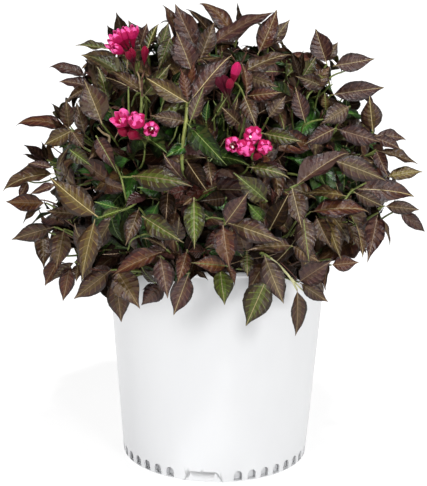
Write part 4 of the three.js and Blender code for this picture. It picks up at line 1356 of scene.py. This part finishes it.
def flower(base, mouth, radius, opening, spin, stigma=True):
    """A five-lobed funnel from base to mouth: opening 0 keeps its lobes folded in like a cup, 1 spreads them."""
    axis = unit(mouth - base)
    size = np.linalg.norm(mouth - base)
    a, b = frame_of(axis, spin)
    columns = 40
    t = np.arange(columns) * 2 * math.pi / columns
    lobe = 0.5 + 0.5 * np.cos(5 * t)
    s = np.array([0, 0.1, 0.22, 0.36, 0.48, 0.58, 0.67, 0.75, 0.82, 0.88, 0.93, 0.97, 1.0])
    closed = np.interp(s, [0, 0.25, 0.45, 0.58, 0.70, 0.82, 0.92, 1.0], [0.15, 0.22, 0.44, 0.78, 0.99, 1.0, 0.82, 0.46])
    spread_out = np.interp(s, [0, 0.25, 0.45, 0.58, 0.70, 0.82, 0.92, 1.0], [0.15, 0.24, 0.40, 0.60, 0.78, 0.96, 1.16, 1.34])
    shape_r = closed * (1 - opening) + spread_out * opening
    lobe_size = 1 + 0.10 * np.cos(t - rng.random() * 6.283)  # the lobes aren't all alike
    top = 1 - (0.09 + 0.16 * opening) * (1 - lobe**0.55) * lobe_size
    place_s = s[:, None] * np.where(s[:, None] > 0.45, 1 - (1 - top[None]) * ((s[:, None] - 0.45) / 0.55), 1)
    late = np.clip((s[:, None] - 0.40) * 2, 0, 1)
    r = shape_r[:, None] * (1 + late * (0.20 * (lobe[None] ** 0.45 - 0.65))) * lobe_size[None] ** late
    crumple = 1 + late * (0.05 * np.sin(11 * t + spin * 5)[None] + 0.06 * np.sin(17 * s[:, None] + 3 * t[None] + spin))
    r = r * radius * crumple
    outer = base + axis * (place_s * size)[..., None] + r[..., None] * (a * np.cos(t)[None, :, None] + b * np.sin(t)[None, :, None])
    inner_rows = np.array([12, 11, 10, 9, 8, 7, 6, 5])
    inner = base + axis * ((place_s[inner_rows] - 0.002) * size)[..., None] + np.maximum(r[inner_rows] - 0.0005, 0.0004)[..., None] * (a * np.cos(t)[None, :, None] + b * np.sin(t)[None, :, None])
    grid = np.concatenate([outer, inner])
    n = len(grid)
    i, k = np.meshgrid(np.arange(n - 1), np.arange(columns), indexing="ij")
    k2 = (k + 1) % columns
    faces = np.stack([i * columns + k, i * columns + k2, (i + 1) * columns + k2, (i + 1) * columns + k], -1).reshape(-1, 4)
    shut = opening < 0.12
    # the middles of the outer lobes and most of the inside take the pale pink, partly a painted highlight
    bright = lobe[k] > (0.62 if shut else 0.30)
    outside = np.where(i < 5, F_TUBE, np.where(i < (10 if shut else 9), F_PINK, np.where(bright, F_PALE_HIGHLIGHT, F_PINK)))
    # painted light: the throat and the gaps between the inner lobes take a bright pink in place of the shade inside the
    # funnel
    inside = np.where(i < 16, np.where(lobe[k] > 0.10, F_PALE_HIGHLIGHT, F_THROAT_PAINTED_LIGHT), np.where(i < 18, np.where(bright, F_PALE_HIGHLIGHT, F_THROAT_PAINTED_LIGHT), F_THROAT_PAINTED_LIGHT))
    slot = np.where(i < 12, outside, inside)
    petals.add(grid.reshape(-1, 3), faces, slot.ravel())
    # the throat's floor, in the same painted light
    floor_at = base + axis * size * 0.56
    petals.add(np.vstack([grid[-1], floor_at]), np.stack([np.arange(columns), (np.arange(columns) + 1) % columns, np.full(columns, columns)], -1), F_THROAT_PAINTED_LIGHT)
    if shut:  # not open yet: its inner lobes are rolled into a knob
        rolled = np.linspace(0.55, 1.03, 9)
        wide = np.interp(rolled, [0.55, 0.75, 0.92, 0.98, 1.03], [0.40, 0.62, 0.56, 0.40, 0.10]) * radius
        turned_by = rng.random() * 6.283
        # the knob's tip takes the pale pink, partly a painted highlight
        add_tube(petals, base + axis * (rolled * size)[:, None] + a * radius * 0.08, wide, 24, [F_TUBE] * 3 + [F_PINK] * 4 + [F_PALE_HIGHLIGHT], lambda v, u: 1 + 0.20 * np.cos(3 * u + 3.5 * v + turned_by))
        if stigma:  # it pokes out beside the knob
            aside = (a * math.cos(turned_by) + b * math.sin(turned_by)) * radius
            path = bezier(base + axis * size * 0.6 + aside * 0.3, base + axis * size * 0.8 + aside * 0.5, base + axis * size * 0.95 + aside * 0.5, base + axis * size * 1.04 + aside * 0.36, 6)
            add_tube(petals, path, np.array([0.3, 0.3, 0.3, 0.3, 1.2, 1.0]) * MM, 7, F_WHITE)
        stalk(base, axis)
        return
    reach = size * (rng.uniform(0.93, 1.0) if stigma else rng.uniform(0.62, 0.7))
    tip = base + axis * reach + (a * rng.uniform(-1, 1) + b * rng.uniform(-1, 1)) * radius * 0.18
    foot_at = base + axis * size * 0.45
    path = bezier(foot_at, foot_at + axis * size * 0.2, tip - axis * size * 0.15, tip, 6)
    add_tube(petals, path, np.array([0.3, 0.3, 0.3, 0.3, 1.2, 1.0]) * MM, 7, F_WHITE)
    for j in range(5):
        u = spin + j * 2 * math.pi / 5 + 0.6
        o = a * math.cos(u) + b * math.sin(u)
        end = base + axis * size * 0.76 + o * radius * 0.26
        path = bezier(foot_at, foot_at + axis * size * 0.15, end - axis * size * 0.12, end, 5)
        add_tube(petals, path, np.array([0.2, 0.2, 0.2, 0.8, 0.6]) * MM, 5, [F_WHITE, F_WHITE, F_CREAM, F_CREAM])
    stalk(base, axis)


def bud(base, tip, radius, low, high):
    """A shut bud, of one colour low down and another near its tip."""
    s = np.linspace(0, 1, 15)
    r = np.interp(s, [0, 0.12, 0.35, 0.6, 0.78, 0.92, 1], [0.24, 0.36, 0.6, 0.92, 1.0, 0.66, 0.16]) * radius
    path = base + (tip - base) * s[:, None]

    def lump(t, a):
        return 1 + 0.13 * np.cos(5 * a + 2.5 * t)

    add_tube(petals, path, r, 25, [low] * 8 + [high] * 6, lump)
    stalk(base, unit(tip - base))


def aimed(px, py, base, length, seen=1.04):
    """The point that a pixel sees at a length from a base, on the viewer's side of it."""
    ray = FORWARD + RIGHT * (px - CAM_MID[0]) / CAM_F + CAM_UP * (CAM_MID[1] - py) / CAM_F
    ray /= np.linalg.norm(ray)
    near = CAM_AT + ray * ((base - CAM_AT) @ ray)
    off = np.linalg.norm(near - base)
    length = max(length, off * seen)
    return near - ray * math.sqrt(length * length - off * off)


def pedicel(base, axis, fork):
    """The small stalk from under a flower back to the fork of its cluster."""
    start = base - axis * 0.011
    reach = np.linalg.norm(fork - start)
    if reach > 0.002:
        path = bezier(start, start - axis * reach * 0.4, fork + UP * reach * 0.25, fork, 8)
        add_tube(twigs, path, np.linspace(0.6, 0.8, 8) * MM, 6, TWIG_YOUNG)


# Each cluster: its fork in pixels and how far ahead it stands, then flowers (mouth x, y, base x, y, half width in mm,
# how open) and buds (tip x, y, base x, y, half width, low colour, high colour).
CLUSTERS = [
    (136, 75, 4,
     [(107, 42, 129, 55, 6.2, 0.35, 0), (112, 33, 130, 53, 6.8, 0.4, 0), (121, 28, 131, 52, 6.4, 0.25, 0), (131, 26, 134, 53, 7.0, 0.4, 0), (113, 47, 131, 57, 5.2, 0.15, 0)],
     [(145, 46, 144, 66, 3.9, F_TUBE, F_TUBE), (131, 48, 134, 68, 4.0, F_MAROON, F_TUBE), (127, 52, 133, 64, 3.4, F_MAROON, F_TUBE)]),
    (229, 104, 8,
     [],
     [(238, 62, 230, 89, 4.9, F_TUBE, F_PINK), (217, 77, 226, 95, 4.6, F_MAROON, F_MAROON), (223, 75, 228, 95, 4.6, F_MAROON, F_MAROON), (230, 79, 229, 96, 4.0, F_MAROON, F_TUBE)]),
    (145, 146, 4,
     [(117, 117, 133, 129, 7.8, 0.5, 0), (136, 117, 139, 129, 8.8, 0.05, 0), (151.2, 130, 153, 124, 7.6, 0.16, 1)],
     # the first bud's tip is the pale pink, partly a painted highlight
     [(121, 109, 131, 125, 4.6, F_PINK, F_PALE_HIGHLIGHT), (118, 130, 138, 134, 5.2, F_TUBE, F_TUBE), (129, 133, 142, 138, 5.0, F_TUBE, F_TUBE)]),
    (253, 162, -2,
     [(233.3, 146.5, 230, 139, 8.0, 0.16, 1), (246.3, 149.5, 246, 143, 8.8, 0.03, 0), (254, 137, 252, 130, 8.8, 0.11, 1), (266, 147.5, 262, 145, 7.4, 0.08, 0)],
     [(259, 153, 254, 160, 4.4, F_TUBE, F_TUBE)]),
]
for fx, fy, ahead, flowers_of, buds_of in CLUSTERS:
    forward = bulge(fx, fy, 0.207) + ahead * MM
    fork = stand(fx, fy, forward)[0]
    for mx, my, bx, by, radius, opening, stigma in flowers_of:
        base = stand(bx, by, forward + 0.006)[0]
        mouth = aimed(mx, my, base, 0.026 if fy < 80 else 0.029)
        flower(base, mouth, radius * MM, opening, rng.random() * 6.283, bool(stigma))
        shown += [(mouth, 9), ((mouth + base) / 2, 8)]
        pedicel(base, unit(mouth - base), fork)
    for tx, ty, bx, by, radius, low, high in buds_of:
        base = stand(bx, by, forward + 0.006)[0]
        tip = aimed(tx, ty, base, 0.023)
        bud(base, tip, radius * MM, low, high)
        shown += [(tip, 5), ((tip + base) / 2, 6)]
        pedicel(base, unit(tip - base), fork)
    carried(fork, UP, 0.9)
# the same kind of cluster on the sides that the photograph hides
hidden = []
for azimuth, height in ((62, 22), (72, -4), (88, 32), (108, 8), (130, 28), (141, 0)):
    e, a = math.radians(height), math.radians(azimuth)
    out = np.array([math.cos(e) * math.cos(a), math.cos(e) * math.sin(a), math.sin(e)])
    middle_at = CROWN + out * 0.205
    side, high = unit(np.cross(UP, out)), square_to(UP, out)
    many = int(rng.integers(4, 7))
    first_at = rng.random() * 6.283
    for k in range(many):
        u = first_at + k * 6.283 / many + rng.uniform(-0.35, 0.35)
        lean = unit(out * 0.9 + UP * 0.25 + (side * math.cos(u) + high * math.sin(u)) * rng.uniform(0.3, 0.6))
        base = middle_at + (side * math.cos(u) + high * math.sin(u)) * 0.005 - out * rng.uniform(0, 0.006)
        if k < many - 2:
            mouth = base + lean * rng.uniform(0.028, 0.034)
            flower(base, mouth, rng.uniform(6.6, 7.8) * MM, rng.uniform(0.05, 0.65), rng.random() * 6.283, rng.random() < 0.6)
        else:
            mouth = base + lean * rng.uniform(0.019, 0.025)
            bud(base, mouth, rng.uniform(3.6, 4.6) * MM, F_MAROON if k % 2 else F_TUBE, F_TUBE if k % 2 else F_PINK)
        hidden.append(mouth)
        pedicel(base, lean, middle_at - out * 0.018)
    carried(middle_at - out * 0.018, out, 0.9)


# ---------------------------------------------------------------- trimming to the crown's outline
chosen = np.arange(len(leaves.rows))
points, _ = shape(leaves, chosen, COARSE_ROWS, COARSE_ACROSS, 5)
at = leaves.column("at")


def pot_radius(z):
    return np.where(z > 0.2405, wall_at(248.0) + LIP, wall_at(z / MM)) * MM


keep = np.ones(len(chosen), bool)
r_xy = np.linalg.norm(points[..., :2], axis=-1)
low = points[..., 2].min(1)
keep &= low > 0.186
keep &= points[..., 2].max(1) < 0.533
keep &= (np.abs(points[..., 0]).max(1) < 0.252) & (np.abs(points[..., 1]).max(1) < 0.250)
inside = (points[..., 2] < 0.250) & (r_xy < pot_radius(points[..., 2]) + 0.002)
keep &= ~(inside.any(1) & (np.linalg.norm(at[:, :2], axis=1) < 0.118))
seen, _ = pixels(points.reshape(-1, 3))
seen = seen.reshape(len(chosen), -1, 2) - [213, 200]
turn = np.degrees(np.arctan2(-seen[..., 1], seen[..., 0]))
turn = np.where(turn < -60, turn + 360, turn)
reach = np.linalg.norm(seen, axis=-1)
limit = np.interp(turn, EDGE_ANGLES, EDGE_REACH) - 1
keep &= ~((reach > limit).any(1) & (turn < 240).all(1) & (turn > -60).all(1))
small = leaves.column("length") < 0.036
keep &= ~(small & (reach > limit - 14).any(1) & (turn < 240).all(1) & (turn > -60).all(1))
# the fringe in front of the pot, no lower than in the photograph
HEM_X = [60, 100, 112, 124, 134, 142, 152, 160, 172, 182, 190, 198, 212, 218, 228, 236, 244, 256, 268, 284, 300, 322, 332, 372]
HEM_Y = [300, 300, 318, 318, 296, 304, 304, 296, 298, 314, 300, 276, 276, 300, 290, 276, 316, 320, 302, 304, 318, 302, 284, 268]
front = at[:, 1] < 0.05
keep &= ~(front & ((seen[..., 1] + 200) > np.interp(seen[..., 0] + 213, HEM_X, HEM_Y) + 1).any(1))
hero = leaves.column("keep") > 0
seen_at, depth = pixels(points.reshape(-1, 3))
seen_at, depth = seen_at.reshape(len(chosen), -1, 2), depth.reshape(len(chosen), -1)
for x, y, a, b in SKY:
    hit = ((seen_at[..., 0] - x) / (a + 1)) ** 2 + ((seen_at[..., 1] - y) / (b + 1)) ** 2 < 1
    keep &= ~hit.any(1)
middle = len(COARSE_ROWS) * 4
for h in np.flatnonzero(hero):
    rib = slice(4, middle)
    px, dp = seen_at[h, rib], depth[h, rib].mean()
    x0, y0, x1, y1 = px[:, 0].min(), px[:, 1].min(), px[:, 0].max(), px[:, 1].max()
    centre = (seen_at[h, 4 * 1 + 1 : middle : 4] + seen_at[h, 4 * 1 + 2 : middle : 4]) / 2
    near = (depth.min(1) < dp + 0.002) & (seen_at[..., 0].max(1) > x0) & (seen_at[..., 0].min(1) < x1) & (seen_at[..., 1].max(1) > y0) & (seen_at[..., 1].min(1) < y1)
    for i in np.flatnonzero(near & ~hero & keep):
        gap = np.linalg.norm(seen_at[i][:, None] - centre[None], axis=-1).min(1)
        if ((gap < 8) & (depth[i] < dp + 0.004)).any():
            keep[i] = False
for point, clear in shown:
    (px,), (dp,) = pixels(point[None])
    near = (np.linalg.norm(seen_at - px, axis=-1) < clear) & (depth < dp + 0.004)
    keep &= ~near.any(1)
for point in hidden:
    out = unit(point - CROWN)
    for ahead in (0, 0.014):
        keep &= ~(np.linalg.norm(points - (point + out * ahead), axis=-1) < 0.012).any(1)
keep |= hero
for path, radii, sides, colours, borne in waiting:
    reached = [share for number, share in borne if keep[number]]
    if not reached:
        continue
    n = len(path)
    t = np.linspace(0, max(reached), n)
    cut_path = along(path, t)[0]
    cut_radii = np.interp(t, np.linspace(0, 1, n), radii)
    add_tube(twigs, cut_path, cut_radii, sides, [colours[min(int(v * (n - 1)), len(colours) - 1)] for v in (t[1:] + t[:-1]) / 2])
kept = [r for r, k in zip(leaves.rows, keep) if k]
dropped = len(leaves.rows) - len(kept)
leaves.rows = kept

# ---------------------------------------------------------------- joined leaf pieces
GROUPS = {
    "leaves_skirt_right": [0, 1, 2, 8, 9],
    "leaves_skirt_left": [3, 4, 5, 6, 7],
    "leaves_shoulder_right": [10, 11, 16, 17],
    "leaves_shoulder_left": [12, 13, 14, 15],
    "leaves_upper": [18, 19, 20, 21, 22],
    "leaves_top": [23],
}
group = leaves.column("group").astype(int)
fine = leaves.column("fine").astype(int)
total = 0
for name, members in GROUPS.items():
    batch = Batch()
    for level, (rows_at, across_at) in enumerate(((COARSE_ROWS, COARSE_ACROSS), (FINE_ROWS, FINE_ACROSS))):
        mine = np.flatnonzero(np.isin(group, members) & (fine == level))
        if not len(mine):
            continue
        faces, zones = template(rows_at, across_at)
        verts, uvs = shape(leaves, mine, rows_at, across_at, 900 + level)
        n, v = verts.shape[:2]
        flat = verts.reshape(-1, 3)
        # leaves drape over the pot's rim and wall
        r = np.linalg.norm(flat[:, :2], axis=1)
        wanted = pot_radius(flat[:, 2]) + 0.0022
        push = (flat[:, 2] < 0.2505) & (r < wanted) & (r > 0.08)
        flat[push, :2] *= (wanted[push] / r[push])[:, None]
        all_faces = (faces[None] + (np.arange(n) * v)[:, None, None]).reshape(-1, 4)
        slots = slots_of(zones, leaves.column("tint", mine).astype(int), leaves.column("rib", mine).astype(int)).ravel()
        row = np.full((n, v), -1, np.int64)
        if level:
            across_count = 2 * len(across_at)
            row[:, : across_count * len(rows_at)] = np.where(FINE_LIFT.repeat(across_count) < 0, np.arange(len(rows_at)).repeat(across_count), -10**7)[None] + np.arange(n)[:, None] * 100
        batch.add(flat, all_faces, slots, uvs.reshape(-1, 2), row.ravel())
    piece = batch.build(name, leaf_mats)
    tris = 2 * len(piece.data.polygons)
    total += tris
    print("PIECE", name, tris)
    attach(piece, "root")
    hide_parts(*[cells[i]["name"] for i in members])
print("LEAVES", len(leaves.rows), "dropped", dropped, "triangles", total)

twig_mats = [
    noisy("twig_brown", (0.024, 0.014, 0.009), (0.095, 0.058, 0.038), 300, 0.65, 0.0004, specular=0.3),
    noisy("twig_green", (0.09, 0.12, 0.025), (0.19, 0.22, 0.06), 220, 0.5, 0.0002, specular=0.3),
    noisy("twig_red", (0.06, 0.025, 0.016), (0.16, 0.075, 0.045), 220, 0.5, 0.0002, specular=0.4),
    noisy("twig_olive", (0.16, 0.19, 0.04), (0.27, 0.28, 0.07), 160, 0.45, 0.0002, specular=0.4),
    noisy("twig_tan", (0.16, 0.11, 0.055), (0.33, 0.25, 0.14), 220, 0.55, 0.0002, specular=0.4),
    noisy("twig_pale", (0.42, 0.42, 0.19), (0.62, 0.60, 0.36), 220, 0.5, 0.0002, specular=0.4),
]
def petal(name, colour, rough, specular, scale=420, relief=0.0007):
    """A thin, crumpled skin: plain colour, fine relief and an uneven gloss."""
    m, t, p = material(name, colour, rough, specular, sheen=0.05)
    place = node(t, "ShaderNodeTexCoord")
    grain = node(t, "ShaderNodeTexNoise")
    grain.inputs["Scale"].default_value, grain.inputs["Detail"].default_value = scale, 4
    link(t, place.outputs["Object"], grain.inputs["Vector"])
    spread(t, grain.outputs["Fac"], rough - 0.12, rough + 0.16, p.inputs["Roughness"])
    bump = node(t, "ShaderNodeBump", Strength=0.7, Distance=relief)
    link(t, grain.outputs["Fac"], bump.inputs["Height"])
    link(t, bump.outputs["Normal"], p.inputs["Normal"])
    return m


blossom_mats = [
    petal("petal_tube", (0.200, 0.001, 0.024), 0.44, 0.14),
    petal("petal_pink", (0.405, 0.003, 0.078), 0.42, 0.22),
    # paler pink of lobes and inside, partly a painted highlight
    petal("petal_pale_highlight", (0.80, 0.090, 0.345), 0.38, 0.42),
    # painted light: a bright pink standing in for light through the petals, where the throat would be in shade
    petal("petal_throat_painted_light", (0.66, 0.018, 0.170), 0.5, 0.18),
    petal("stigma_white", (0.90, 0.86, 0.80), 0.5, 0.3, 900, 0.0002),
    petal("anther_cream", (0.85, 0.52, 0.50), 0.6, 0.3, 900, 0.0003),
    petal("bud_maroon", (0.058, 0.001, 0.010), 0.46, 0.12),
    petal("sepal_red_green", (0.075, 0.040, 0.022), 0.5, 0.3, 500, 0.0003),
]
blossom_piece = petals.build("blossom", blossom_mats)
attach(blossom_piece, "root")
twig_piece = twigs.build("twigs", twig_mats)
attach(twig_piece, "root")

# ---------------------------------------------------------------- light and floor
floor_mesh = bpy.data.meshes.new("floor")
floor_mesh.from_pydata([(-30, -30, -0.0006), (30, -30, -0.0006), (30, 30, -0.0006), (-30, 30, -0.0006)], [], [(0, 1, 2, 3)])
floor = bpy.data.objects.new("floor", floor_mesh)
bpy.context.scene.collection.objects.link(floor)
floor_mat, t, p = material("floor_white", (0.24, 0.24, 0.24), 0.9, 0.1)
p.inputs["Emission Color"].default_value = (1, 1, 1, 1)
p.inputs["Emission Strength"].default_value = 0.86
floor.data.materials.append(floor_mat)
floor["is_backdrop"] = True

# a plain pale wall all round, which is only looked at and throws no light
wall = turned("backdrop", [[0, -14000], [10000, -10000], [14000, 0], [10000, 10000], [0, 14000]], 24)
wall_mat, t, p = material("wall_white", (0.0, 0.0, 0.0), 1.0, 0.0)
p.inputs["Emission Color"].default_value = (1, 1, 1, 1)
p.inputs["Emission Strength"].default_value = 1.0
wall.data.materials.append(wall_mat)
wall.visible_diffuse = wall.visible_glossy = wall.visible_shadow = wall.visible_transmission = False
wall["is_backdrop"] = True

world = bpy.data.worlds.new("studio")
bpy.context.scene.world = world
world.use_nodes = True
background = world.node_tree.nodes["Background"]
background.inputs["Color"].default_value = (1, 1, 1, 1)
background.inputs["Strength"].default_value = 0.10


def lamp(name, azimuth, elevation, strength, softness, shine=True, colour=(1, 1, 1)):
    """A far, wide light: azimuth 0 is over the camera's shoulder and 90 to its right."""
    light = bpy.data.lights.new(name, "SUN")
    light.energy, light.angle, light.color = strength, math.radians(softness), colour
    o = bpy.data.objects.new(name, light)
    bpy.context.scene.collection.objects.link(o)
    a, e = math.radians(azimuth), math.radians(elevation)
    at = Vector((math.sin(a) * math.cos(e), -math.cos(a) * math.cos(e), math.sin(e)))
    o.location = at * 3
    o.rotation_mode = "QUATERNION"
    o.rotation_quaternion = (-at).to_track_quat("-Z", "Y")
    o.visible_glossy = shine
    return o


lamp("key", 30, 20, 1.62, 14)
lamp("top", 14, 68, 2.7, 6)
lamp("fill", -58, 12, 1.38, 46, False)
lamp("back", 168, 48, 0.6, 60, False)

bpy.context.scene.view_settings.view_transform = "Standard"

low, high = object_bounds()
{"cad": [list(cad_low), list(cad_high)], "visual": [list(low), list(high)]}
